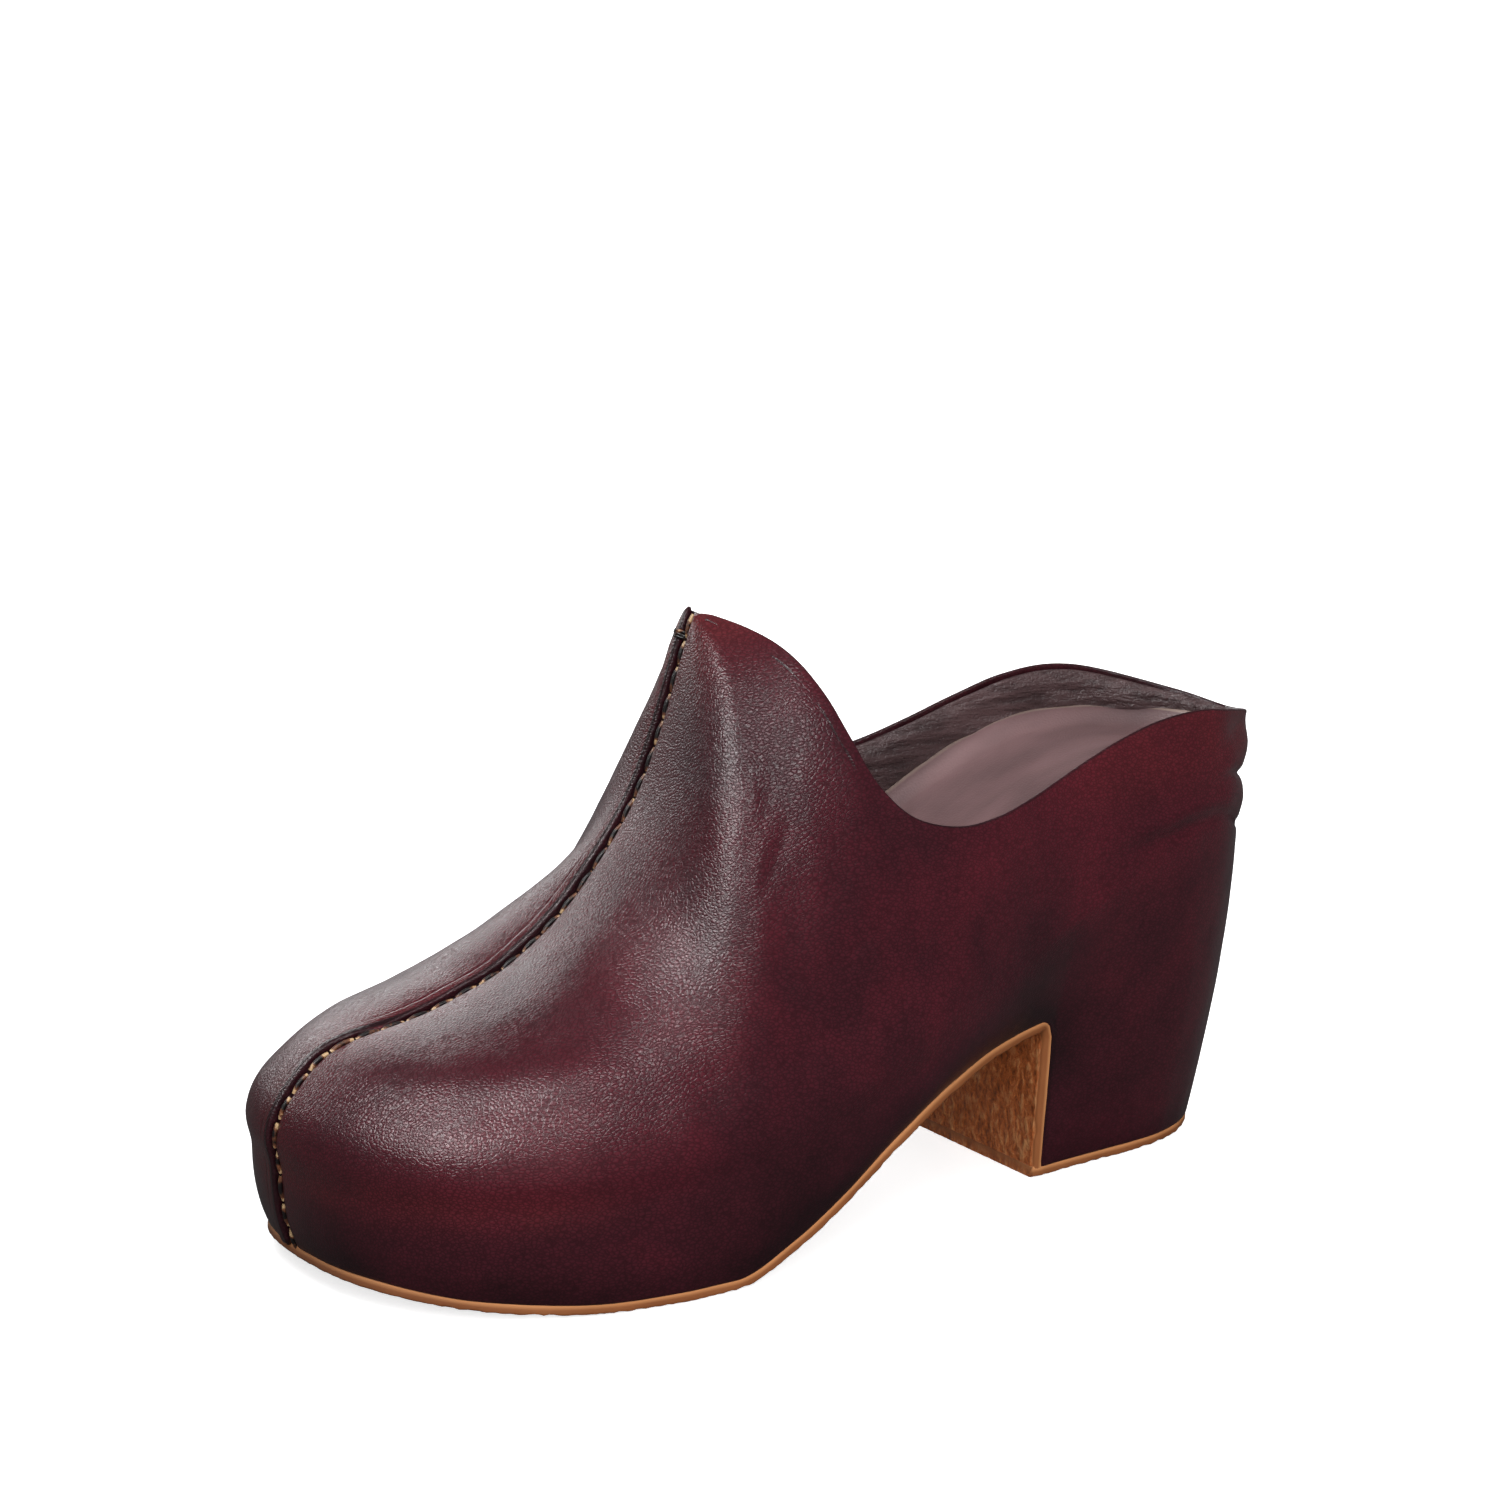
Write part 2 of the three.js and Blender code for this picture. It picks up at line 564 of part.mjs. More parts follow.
// A point across the forepart's underside between two stations, lifted off the sheet's lower face.
function acrossSole(u1, u2, s, lift) {
  const edge = (side, u) => {
    const p = sidePoint(side, u, 0, { heel: false });
    const inward = sidePoint(side, u, 0.999, { heel: false }).sub(p).setZ(0);
    return inward.lengthSq() > 0 ? p.addScaledVector(inward.normalize(), SHEET_INSET) : p;
  };
  const p = edge(1, u1).lerp(edge(-1, u2), s);
  const y = Math.min(p.y, SHEET_BACK_Y - OUTSOLE + lift);
  return new THREE.Vector3(p.x, y, ramp(SOLE_LIFT, Math.min(p.y, BREAST_Y)) + lift);
}

// The leather edge down one side of the heel's front face, t from top to bottom.
function breastEdge(side, t) {
  const u = stationAt(side, BREAST_Y + BREAST_STEP / 2);
  const top = shankZ(BREAST_Y);
  const z = top + (FLOOR_Z - top) * t;
  const v = (z - FLOOR_Z) / (ramp(WOOD_TOP, BREAST_Y) - FLOOR_Z);
  return sidePoint(side, u, v);
}

// Flat crepe lift under the whole heel, and under the lower end of the outsole.
function heelTopLift() {
  const front = SHEET_BACK_Y - OUTSOLE;
  const outline = [];
  for (const side of [1, -1]) {
    const us = steps(stationAt(side, BREAST_Y + 0.3), LAST_STATION, 14);
    const edge = us.map((u) => {
      const p = sidePoint(side, u, 0);
      const inward = sidePoint(side, u, 0.9).sub(p).setZ(0).normalize();
      return p.addScaledVector(inward, SHEET_INSET);
    });
    edge.unshift(new THREE.Vector3(edge[0].x, front, 0));
    outline.push(...(side > 0 ? edge : edge.reverse().slice(1)));
  }
  const shape = new THREE.Shape(outline.map((p) => new THREE.Vector2(p.x, p.y)));
  return solidOf(new THREE.ExtrudeGeometry(shape, { depth: OUTSOLE, bevelEnabled: false, steps: 1 }));
}

// Board that levels the underside inside the turned-under leather.
function forepartFiller() {
  const clear = LASTING_MARGIN + LEATHER + GAP + 1;
  const [from, to] = [TOE.y + PLEATED.toe + 4.5, BREAST_Y - 8];
  const rows = (lift) => steps(from, to, 16).map((y) => {
    const ends = [1, -1].map((side) => {
      return sidePoint(side, stationAt(side, y), 0, { heel: false }).x - side * clear;
    });
    const z = shankZ(y) + lift;
    return steps(0, 1, 3).map((t) => new THREE.Vector3(ends[0] + (ends[1] - ends[0]) * t, y, z));
  });
  return bodyBetween(rows(LEATHER), rows(0));
}

// ---- thread and tacks ----
const THREAD = 0.9; // diameter
const THREAD_OFF = 2.2; // beside the middle seam
const BAR_TACK = { diameter: 1.4, reach: 3, below: 0.25 }; // below the throat, in stations

// Thread of the middle seam, one run along the lateral side of the seam from sole edge to throat.
function seamRoute() {
  const stand = -(THREAD / 2 + 2 * GAP + 0.3);
  const beside = { seamGap: THREAD_OFF };
  const nearToe = 0.1; // station
  const up = [0.06, ...SHANK_LEVELS.slice(3)].map((v) => offsetPoint(1, nearToe, v, stand, beside));
  const over = levelsBetween(...LINING_LEVELS).map((v) => offsetPoint(1, nearToe, v, stand, beside));
  const stations = stationsBetween(1, 0.3, THROAT - BAR_TACK.below);
  const along = stations.map((u) => offsetPoint(1, u, 1.99, stand, beside));
  return [...up, ...over, ...along];
}

function tube(points, diameter, count, sides = 6) {
  const path = new THREE.CatmullRomCurve3(points, false, "centripetal");
  const section = new THREE.Shape(Array.from({ length: sides }, (_, i) => {
    const a = (2 * Math.PI * i) / sides;
    return new THREE.Vector2((Math.cos(a) * diameter) / 2, (Math.sin(a) * diameter) / 2);
  }));
  return solidOf(new THREE.ExtrudeGeometry(section, { steps: count, extrudePath: path }));
}

function frontSeamThread() {
  return tube(seamRoute(), THREAD, 60);
}

// Turns of thread laid across the seam just below the throat.
function barTack() {
  const stand = -(BAR_TACK.diameter / 2 + 2 * GAP);
  const at = (side, reach) => offsetPoint(side, THROAT - BAR_TACK.below, 2, stand, { seamGap: reach });
  return tube([at(-1, BAR_TACK.reach), at(1, 0.5), at(1, BAR_TACK.reach)], BAR_TACK.diameter, 3);
}

const TACK = { head: 1.7, headHeight: 0.5, shank: 0.55, length: 10, point: 2 };

// Turned profile of a lasting tack, head down, grown all round by clear.
function tackGeometry(clear = 0) {
  const profile = [
    [0, -clear],
    [TACK.head + clear, -clear],
    [TACK.head + clear, TACK.headHeight + clear],
    [TACK.shank + clear, TACK.headHeight + clear],
    [TACK.shank + clear, TACK.length - TACK.point],
    [0, TACK.length + clear * 3],
  ].map(([r, z]) => new THREE.Vector2(r, z));
  const lathe = new THREE.LatheGeometry(profile, 8);
  lathe.rotateX(Math.PI / 2);
  return lathe;
}

// Places of the tacks, as [side, y], through the margin all round.
const TACK_PLACES = [1, -1].flatMap((side) => [-92, -58, -24, 10, 66, 96].map((y) => [side, y]));

// A tack driven square to the underside, its head just clear of the margin's face.
function tackAt([side, y], clear) {
  const geometry = tackGeometry(clear);
  const clearOfLeather = 0.05;
  const at = underneath(side, stationAt(side, y), LASTING_MARGIN * 0.45, clearOfLeather);
  const slope = at.y < BREAST_Y ? ramp(SOLE_LIFT, at.y + 1) - ramp(SOLE_LIFT, at.y) : 0;
  geometry.rotateX(Math.atan(slope));
  geometry.translate(at.x, at.y, at.z);
  return solidOf(geometry);
}

const tackHoles = TACK_PLACES.map((place) => tackAt(place, 0.25));
const withTackHoles = (solid) => tackHoles.reduce((rest, hole) => rest.subtract(hole), solid);

// ---- assembly ----
const finishes = {
  upper: { color: 0x3a141c, roughness: 0.38 },
  lining: { color: 0x6b5350, roughness: 0.7 },
  sock: { color: 0x74595a, roughness: 0.55 },
  crepe: { color: 0x9a5a32, roughness: 0.85 },
  wood: { color: 0xc79f6b, roughness: 0.7 },
  foam: { color: 0xe2d7b8, roughness: 0.95 },
  board: { color: 0x8a7a63, roughness: 0.95 },
  tape: { color: 0xd8d2c4, roughness: 0.9 },
  thread: { color: 0xb88a5a, roughness: 0.8 },
  steel: { color: 0x8f9094, roughness: 0.4, metalness: 1 },
};

const clog = new THREE.Group();
clog.position.set(-CENTRE.x, -CENTRE.y, 0);

function add(name, solid, finish) {
  const mesh = new THREE.Mesh(geometryOf(solid), new THREE.MeshStandardMaterial(finishes[finish]));
  mesh.name = name;
  clog.add(mesh);
}

add("upper_lateral", withTackHoles(upperHalf(1)), "upper");
add("upper_medial", withTackHoles(upperHalf(-1)), "upper");
add("vamp_lining_lateral", vampLining(1), "lining");
add("vamp_lining_medial", vampLining(-1), "lining");
add("heel_lining", heelLining(), "lining");
add("toe_puff", toePuff(), "board");
add("heel_counter", heelCounter(), "board");
add("front_seam_tape", frontSeamTape(), "tape");
add("front_seam_thread", frontSeamThread(), "thread");
add("throat_bar_tack", barTack(), "thread");
add("wood_sole", withTackHoles(woodSole()), "wood");
add("footbed_foam", footbedLayer(SOCK + GAP, SOCK + GAP + FOAM), "foam");
add("sock_liner", footbedLayer(0, SOCK), "sock");
add("forepart_filler", forepartFiller(), "board");
add("outsole", outsole(), "crepe");
add("heel_top_lift", heelTopLift(), "crepe");
TACK_PLACES.forEach((place, i) => {
  add(`lasting_tack_${String(i + 1).padStart(2, "0")}`, tackAt(place, 0), "steel");
});

export default clog;
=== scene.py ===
"""A left foot's platform clog: leather stretched over a carved wood sole with a block heel.

The leather is one smooth form described by stations along each side, from the toe to the heel. Every
layer is made from that form: the two halves of the upper, the linings inside them, the footbed, the
crepe outsole and the heel's top lift. Sizes are in millimetres until a mesh is made.
"""
import math

import bmesh
import bpy
import numpy as np
from bpy.props import FloatProperty, FloatVectorProperty, PointerProperty
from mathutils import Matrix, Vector, noise


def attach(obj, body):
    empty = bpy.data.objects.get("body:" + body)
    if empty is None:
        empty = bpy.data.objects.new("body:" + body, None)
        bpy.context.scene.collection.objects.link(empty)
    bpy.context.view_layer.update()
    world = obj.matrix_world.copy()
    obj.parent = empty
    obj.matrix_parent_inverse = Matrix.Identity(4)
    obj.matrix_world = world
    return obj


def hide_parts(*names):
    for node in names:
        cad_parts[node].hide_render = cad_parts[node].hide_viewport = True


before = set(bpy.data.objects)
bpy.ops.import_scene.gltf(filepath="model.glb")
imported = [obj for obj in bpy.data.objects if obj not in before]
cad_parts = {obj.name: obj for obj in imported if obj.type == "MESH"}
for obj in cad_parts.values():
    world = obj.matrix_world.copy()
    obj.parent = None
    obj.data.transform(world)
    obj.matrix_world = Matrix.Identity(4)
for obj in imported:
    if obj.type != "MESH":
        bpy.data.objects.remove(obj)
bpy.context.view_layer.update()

bl_info = {
    "name": "Leather-covered clog",
    "version": (1, 0, 0),
    "blender": (4, 5, 0),
    "location": "3D View > Sidebar > Clog",
    "description": "Builds a platform clog in stitched leather round its frame",
    "category": "Add Mesh",
}

MM = 0.001
BODY = "root"
LATERAL_SIDE, MEDIAL_SIDE = 1, -1
SIDE_NAMES = {LATERAL_SIDE: "lateral", MEDIAL_SIDE: "medial"}

# ---- the form, in millimetres ----

CENTRE = np.array([3.35, 2.4, 0.0])  # middle of the clog's box, which is the frame's origin

# Each row is a station along one side, from the toe tip to the back of the heel: x and y of the
# feather line (the wood's upper edge), then x, y and z of the top edge, which runs up the middle of
# the vamp to the throat, down round the opening and along the collar.
LATERAL = np.array([
    [-7, -120.5, -5.8, -96, 50.5],
    [18, -117, -5.5, -89, 52.6],
    [39, -103, -5, -79, 56.2],
    [51, -82, -4.3, -66, 61.8],
    [55.3, -60, -3.5, -50, 75.2],
    [55.6, -48, -2.7, -33.5, 98.5],
    [55.3, -38, -2, -20.8, 134],
    [54.7, -30.5, 9.5, -14, 131],
    [53.9, -23, 20.5, -10, 126.6],
    [53, -15.5, 28.5, -6.4, 119.3],
    [52, -8, 34.8, -3.4, 110],
    [50.9, 0, 39.3, 0.6, 100.3],
    [49.3, 9, 42.2, 8, 92.6],
    [47.3, 19, 43, 19.5, 89.1],
    [44.4, 31, 41.8, 31, 89.6],
    [41.2, 43, 38.6, 43, 92],
    [38.4, 56, 35.2, 56, 95.7],
    [36.6, 69, 32.5, 69, 99.5],
    [35, 82, 30.6, 82, 102.3],
    [32.3, 94, 28.8, 95, 103],
    [26.5, 106.5, 24.7, 109, 100.6],
    [15.5, 117.3, 14.5, 122, 96.6],
    [0, 122, 0, 127, 94.3],
])
MEDIAL = np.array([
    [-7, -120.5, -5.8, -96, 50.5],
    [-27, -116.3, -6.1, -89, 52.6],
    [-41.5, -102.5, -5.6, -79, 56.2],
    [-48, -82, -4.7, -66, 61.8],
    [-49, -60, -3.7, -50, 75.2],
    [-48, -48, -2.9, -33.5, 98.5],
    [-47, -38, -2, -20.8, 134],
    [-46, -30.5, -11, -14, 127.5],
    [-45, -23, -19.5, -9.5, 120],
    [-44, -15.5, -26.5, -5, 111.5],
    [-43, -8, -32, -1.3, 103.5],
    [-42, 0, -35.6, 2.8, 96.5],
    [-41, 9, -37.6, 9.8, 91.8],
    [-40, 19, -38.3, 19.5, 89.6],
    [-39, 31, -38, 31, 88.8],
    [-38, 43, -37, 43, 89.3],
    [-37, 56, -34.5, 56, 93.5],
    [-36, 69, -32.3, 69, 98.4],
    [-34.6, 82, -30.4, 82, 102.5],
    [-32, 94, -28.4, 95, 103.9],
    [-26.5, 106.5, -24, 109, 101.6],
    [-15.5, 117.3, -14, 122, 96.8],
    [0, 122, 0, 127, 94.3],
])
LAST = len(LATERAL) - 1  # station at the back of the heel
THROAT = 6  # station where the middle seam ends and the opening begins
CORNER_REACH = 0.5  # stations either side of the throat over which its corner is rounded off
CORNER_SHARES = np.linspace(-1, 1, 9)  # where in that reach the form is averaged
SIDE_SEAM = 13.5  # station of the lining's side seams
BREAST_Y = 54.0  # front face of the heel
SHEET = 2.8  # thickness of the outsole and the top lift
APEX_RADIUS = 4.5  # where the outsole turns down the heel


def unit(vectors):
    length = np.linalg.norm(vectors, axis=-1, keepdims=True)
    return vectors / np.maximum(length, 1e-9)


def smooth(low, high, x):
    """0 below low, 1 above high, and smooth between."""
    t = np.clip((np.asarray(x, float) - low) / (high - low), 0, 1)
    return t * t * (3 - 2 * t)


def bell(x, width):
    return np.exp(-((x / width) ** 2))


def hermite(a, b, da, db, t):
    t2, t3 = t * t, t * t * t
    return (2 * t3 - 3 * t2 + 1) * a + (t3 - 2 * t2 + t) * da + (3 * t2 - 2 * t3) * b + (t3 - t2) * db


def profile(*points):
    """A smooth curve through (y, value) points that never overshoots them, flat past the ends."""
    ys, values = np.array(points, float).T
    step = np.diff(ys)
    rise = np.diff(values) / step
    slope = np.zeros_like(values)
    slope[0], slope[-1] = rise[0], rise[-1]
    for i in range(1, len(ys) - 1):
        if rise[i - 1] * rise[i] > 0:
            before, after = 2 * step[i] + step[i - 1], step[i] + 2 * step[i - 1]
            slope[i] = (before + after) / (before / rise[i - 1] + after / rise[i])

    def value(y):
        y = np.clip(y, ys[0], ys[-1])
        i = np.clip(np.searchsorted(ys, y, side="right") - 1, 0, len(ys) - 2)
        t = (y - ys[i]) / step[i]
        return hermite(values[i], values[i + 1], slope[i] * step[i], slope[i + 1] * step[i], t)

    return value


# Heights along the foot: the wood's upper edge, the footbed's edge with the dip in its middle, and the
# crepe's lower face.
wood_top = profile((-121, 27), (-85, 27), (-55, 28.5), (-30, 31.5), (0, 40), (30, 53), (60, 64.5), (85, 72.5),
                   (105, 77), (122, 79))
footbed_z = profile((-121, 33), (-85, 32), (-55, 33), (-30, 37), (0, 47), (30, 62), (52, 75.5), (64, 82.5),
                    (75, 87.5), (86, 90.7), (98, 91.7), (122, 91))
footbed_dish = profile((-121, 0.5), (-60, 1.5), (0, 1.5), (60, 2.5), (122, 3))
sole_lift = profile((-121, 4.5), (-100, 2), (-80, 0.5), (-66, 0), (-44, 0), (-28, 5.6), (-14, 13.1),
                    (1, 22.3), (17, 29.8), (34, 34.4), (50, 35.8), (54, 35.9))
# How far the leather's lower edge lies inside the feather line, and how late down the wall that comes.
shank_inset = profile((-121, 3), (-60, 2), (0, 2.6), (30, 5), (54, 7.2))
shank_power = profile((-121, 3), (-20, 3), (54, 1.15))
heel_blend = profile((54, 0), (94, 1))  # from the front's wall to the heel's
# How much the wall leans along the foot as well as across it.
wall_turn = profile((-10, 1), (25, 0), (78, 0), (108, 1))
# The arch from the feather line to the top edge: how much of a quarter turn it makes, and its fullness.
arch_turn = profile((-121, 1), (-50, 1), (-38, 0.97), (-23, 0.85), (0, 0.7), (30, 0.55), (122, 0.5))
arch_power = {
    LATERAL_SIDE: profile((-121, 2.1), (-100, 2.2), (-82, 2.4), (-62, 2.1), (-48, 1.75), (-25, 1.6),
                          (0, 1.75), (30, 2), (122, 2)),
    MEDIAL_SIDE: profile((-121, 2.1), (-100, 2), (-82, 2), (-62, 1.75), (-48, 1.2), (-30, 1.07), (0, 1.45),
                         (30, 2), (122, 2)),
}
HEEL_TAPER = 3.6  # how far each side of the heel block leans in on its way down
HEEL_BACK_INSET, HEEL_BACK_POWER = 10, 1.7  # the same for its back, and how late it comes


def seam_x(y):
    """Plane of the vamp's middle seam, which leans towards the clog's middle away from the toe."""
    return np.minimum(0, -7 + 0.05 * (y + 120.5))


def shank_z(y):
    """Lower edge of the leather ahead of the heel, with the turn down into the heel's front."""
    into_turn = np.clip(y - (BREAST_Y - APEX_RADIUS), 0, APEX_RADIUS)
    drop = APEX_RADIUS - np.sqrt(np.maximum(APEX_RADIUS**2 - into_turn**2, 0))
    return sole_lift(y) + SHEET - drop


APEX_Z = float(shank_z(BREAST_Y))


def wall_inset(y, z):
    """How far inside the feather line the wall is at height z."""
    top, shank = wood_top(y), sole_lift(y) + SHEET
    share_shank = np.clip((top - z) / (top - shank), 0, 1)
    share_floor = np.clip((top - z) / (top - SHEET), 0, 1)
    below = np.maximum(shank - z, 0) / np.maximum(shank - SHEET, 1)
    front = shank_inset(y) * share_shank ** shank_power(y) + HEEL_TAPER * below
    back = HEEL_BACK_INSET * share_floor**HEEL_BACK_POWER
    return front + (back - front) * heel_blend(y)


def tangents_of(rows):
    """Catmull-Rom tangents on leaving and on reaching each station.

    The outlines cross the middle squarely at the back and at the toe, and the top edge has a corner at
    the throat.
    """
    tangents = np.empty_like(rows)
    tangents[1:-1] = (rows[2:] - rows[:-2]) / 2
    tangents[0] = rows[1] - rows[0]
    tangents[-1] = rows[-1] - rows[-2]
    tangents[0, 1] = 0
    tangents[-1, [1, 3, 4]] = 0
    leaving, reaching = tangents.copy(), tangents
    leaving[THROAT, 2:] = (rows[THROAT + 1] - rows[THROAT])[2:]
    reaching[THROAT, 2:] = (rows[THROAT] - rows[THROAT - 1])[2:]
    return leaving, reaching


STATIONS = {
    LATERAL_SIDE: (LATERAL, *tangents_of(LATERAL)),
    MEDIAL_SIDE: (MEDIAL, *tangents_of(MEDIAL)),
}


def station_row(side, u):
    rows, leaving, reaching = STATIONS[side]
    u = np.clip(u, 0, LAST)
    i = np.minimum(u.astype(int), LAST - 1)
    return hermite(rows[i], rows[i + 1], leaving[i], reaching[i + 1], (u - i)[..., None])


def wall_point(side, u, z):
    """The wall below the feather line, at station u and height z."""
    row = station_row(side, u)
    fx, fy = row[..., 0], row[..., 1]
    along = station_row(side, u + 0.01)[..., :2] - station_row(side, u - 0.01)[..., :2]
    inward = unit(np.stack([-along[..., 1] * side, along[..., 0] * side * wall_turn(fy)], -1))
    inward = np.where((u == 0)[..., None], [0.0, 1.0], inward)
    inward = np.where((u == LAST)[..., None], [0.0, -1.0], inward)
    inset = wall_inset(fy, z)
    return np.stack([fx + inward[..., 0] * inset, fy + inward[..., 1] * inset, z + 0 * fx], -1)


def upper_point(side, u, w):
    """The leather above the feather line, at station u, from the feather line at w=0 to the top edge.

    The top edge's corner at the throat is rounded off below it, by averaging the stations either side.
    """
    reach = CORNER_REACH * smooth(1, 0.72, w) * bell(u - THROAT, 1.3)
    row = sum(station_row(side, u + reach * share) for share in CORNER_SHARES) / len(CORNER_SHARES)
    fx, fy, tx, ty, tz = np.moveaxis(row, -1, 0)
    power = 2 / arch_power[side](fy)
    end = arch_turn(fy) * math.pi / 2
    turn = end * w
    across = (1 - np.cos(turn) ** power) / (1 - np.maximum(np.cos(end), 0) ** power)
    up = (np.sin(turn) / np.sin(end)) ** power
    foot = wood_top(fy)
    return np.stack([fx + (tx - fx) * across, fy + (ty - fy) * across, foot + (tz - foot) * up], -1)


def station_at(side, y):
    """The station whose feather line crosses y."""
    u = np.linspace(1, LAST, 4000)
    return float(np.interp(y, station_row(side, u)[:, 1], u))


# ---- meshes ----

def grid_faces(index, flip=False):
    """Quads of a grid of vertex numbers, rows upward and columns to the right."""
    quads = np.stack([index[:-1, :-1], index[:-1, 1:], index[1:, 1:], index[1:, :-1]], -1).reshape(-1, 4)
    return quads[:, ::-1] if flip else quads


def grid_index(grid):
    """Vertex numbers of a grid of points, row by row."""
    return np.arange(grid.shape[0] * grid.shape[1]).reshape(grid.shape[:2])


def spread(u, levels):
    """Every station at every level, as two grids."""
    return np.tile(u, (len(levels), 1)), np.tile(levels[:, None], (1, len(u)))


def vertex_normals(points, quads):
    a, b, c, d = (points[quads[:, k]] for k in range(4))
    face = np.cross(c - a, d - b)
    total = np.zeros_like(points)
    for k in range(4):
        np.add.at(total, quads[:, k], face)
    return unit(total)


def evened(normals, quads, times):
    """Normals averaged with their neighbours', so that a face moved along them doesn't fold."""
    for _ in range(times):
        face = normals[quads].mean(1)
        total = np.zeros_like(normals)
        for k in range(4):
            np.add.at(total, quads[:, k], face)
        normals = unit(total)
    return normals


def make_object(name, points, quads, material, attributes=None, weld=0.0):
    """A smooth mesh object from points in millimetres, with its place in its mesh."""
    mesh = bpy.data.meshes.new(name)
    mesh.from_pydata(((points - CENTRE) * MM).tolist(), [], quads.tolist())
    for key, values in (attributes or {}).items():
        mesh.attributes.new(key, "FLOAT", "POINT").data.foreach_set("value", np.asarray(values, float))
    mesh.polygons.foreach_set("use_smooth", [True] * len(mesh.polygons))
    mesh.materials.append(material)
    obj = bpy.data.objects.new(name, mesh)
    bpy.context.scene.collection.objects.link(obj)
    if weld:
        merge_close(mesh, weld)
    return obj


def merge_close(mesh, distance):
    """Merges points closer than distance, in millimetres, and drops faces that fold to nothing."""
    work = bmesh.new()
    work.from_mesh(mesh)
    bmesh.ops.remove_doubles(work, verts=work.verts, dist=distance * MM)
    bmesh.ops.dissolve_degenerate(work, edges=work.edges, dist=distance * MM * 0.5)
    work.to_mesh(mesh)
    work.free()


def apply_modifiers(obj):
    """Makes the evaluated shape the object's own mesh."""
    evaluated = obj.evaluated_get(bpy.context.evaluated_depsgraph_get())
    mesh = bpy.data.meshes.new_from_object(evaluated)
    obj.modifiers.clear()
    obj.data = mesh


def thicken(obj, thickness):
    """Gives an open sheet its thickness, in metres, behind its face."""
    solid = obj.modifiers.new("Thickness", "SOLIDIFY")
    solid.thickness = thickness
    solid.offset = -1.0
    solid.use_even_offset = False
    apply_modifiers(obj)


def placed(obj, slot, *nodes):
    """Every finished piece rides on the clog's one body and stands for its nodes."""
    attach(obj, BODY)
    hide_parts(*nodes)


# ---- materials ----

def colour(hex_value):
    """Linear colour of an sRGB hex value."""
    parts = [((hex_value >> shift) & 255) / 255 for shift in (16, 8, 0)]
    return [p / 12.92 if p <= 0.04045 else ((p + 0.055) / 1.055) ** 2.4 for p in parts] + [1.0]


def add_node(tree, kind, inputs=None, output=0, stops=(), **settings):
    """Adds a node and gives one of its outputs. Each input is a value, or the output to link from."""
    node = tree.nodes.new(kind)
    for key, value in settings.items():
        setattr(node, key, value)
    for key, value in (inputs or {}).items():
        if isinstance(value, bpy.types.NodeSocket):
            tree.links.new(value, node.inputs[key])
        else:
            node.inputs[key].default_value = value
    for i, (place, value) in enumerate(stops):
        element = node.color_ramp.elements[i] if i < 2 else node.color_ramp.elements.new(place)
        element.position = place
        element.color = value if isinstance(value, (list, tuple)) else (value, value, value, 1)
    return node.outputs[output] if node.outputs else node


def new_material(name):
    material = bpy.data.materials.new(name)
    material.use_nodes = True
    tree = material.node_tree
    return material, tree, tree.nodes["Principled BSDF"]


def per_mm(size):
    """Texture scale, in object metres, of a pattern that repeats every so many millimetres."""
    return 1 / (size * MM)


MIX = "ShaderNodeMix"
MIX_FACTOR, MIX_A, MIX_B, MIX_RESULT = 0, 6, 7, 2  # a Mix node's colour sockets
RAMP = "ShaderNodeValToRGB"
NOISE = "ShaderNodeTexNoise"
MATHS = "ShaderNodeMath"
VECTOR_MATHS = "ShaderNodeVectorMath"
BUMP = "ShaderNodeBump"
MAPPING = "ShaderNodeMapping"
ATTRIBUTE = "ShaderNodeAttribute"
GRAIN = 0.8  # width of the leather's pebbles, in millimetres
SEAM_HEIGHT = 0.15  # height over which the thread's colour is set, in metres


def pebbles(tree, place, size):
    """Leather grain: rounded pebbles with fine creases between them, their outlines made uneven."""
    wander = add_node(tree, NOISE, {"Vector": place, "Scale": per_mm(size * 1.8), "Detail": 2.0}, "Color")
    centred = add_node(tree, VECTOR_MATHS, {0: wander, 1: (0.5, 0.5, 0.5)}, operation="SUBTRACT")
    small = add_node(tree, VECTOR_MATHS, {0: centred, "Scale": size * MM * 0.6}, operation="SCALE")
    uneven = add_node(tree, VECTOR_MATHS, {0: place, 1: small}, operation="ADD")
    to_crease = add_node(tree, "ShaderNodeTexVoronoi", {"Vector": uneven, "Scale": per_mm(size)}, "Distance",
                         feature="DISTANCE_TO_EDGE")
    return add_node(tree, RAMP, {"Fac": to_crease}, stops=((0.0, 0.0), (0.5, 1.0), (0.2, 0.6)))


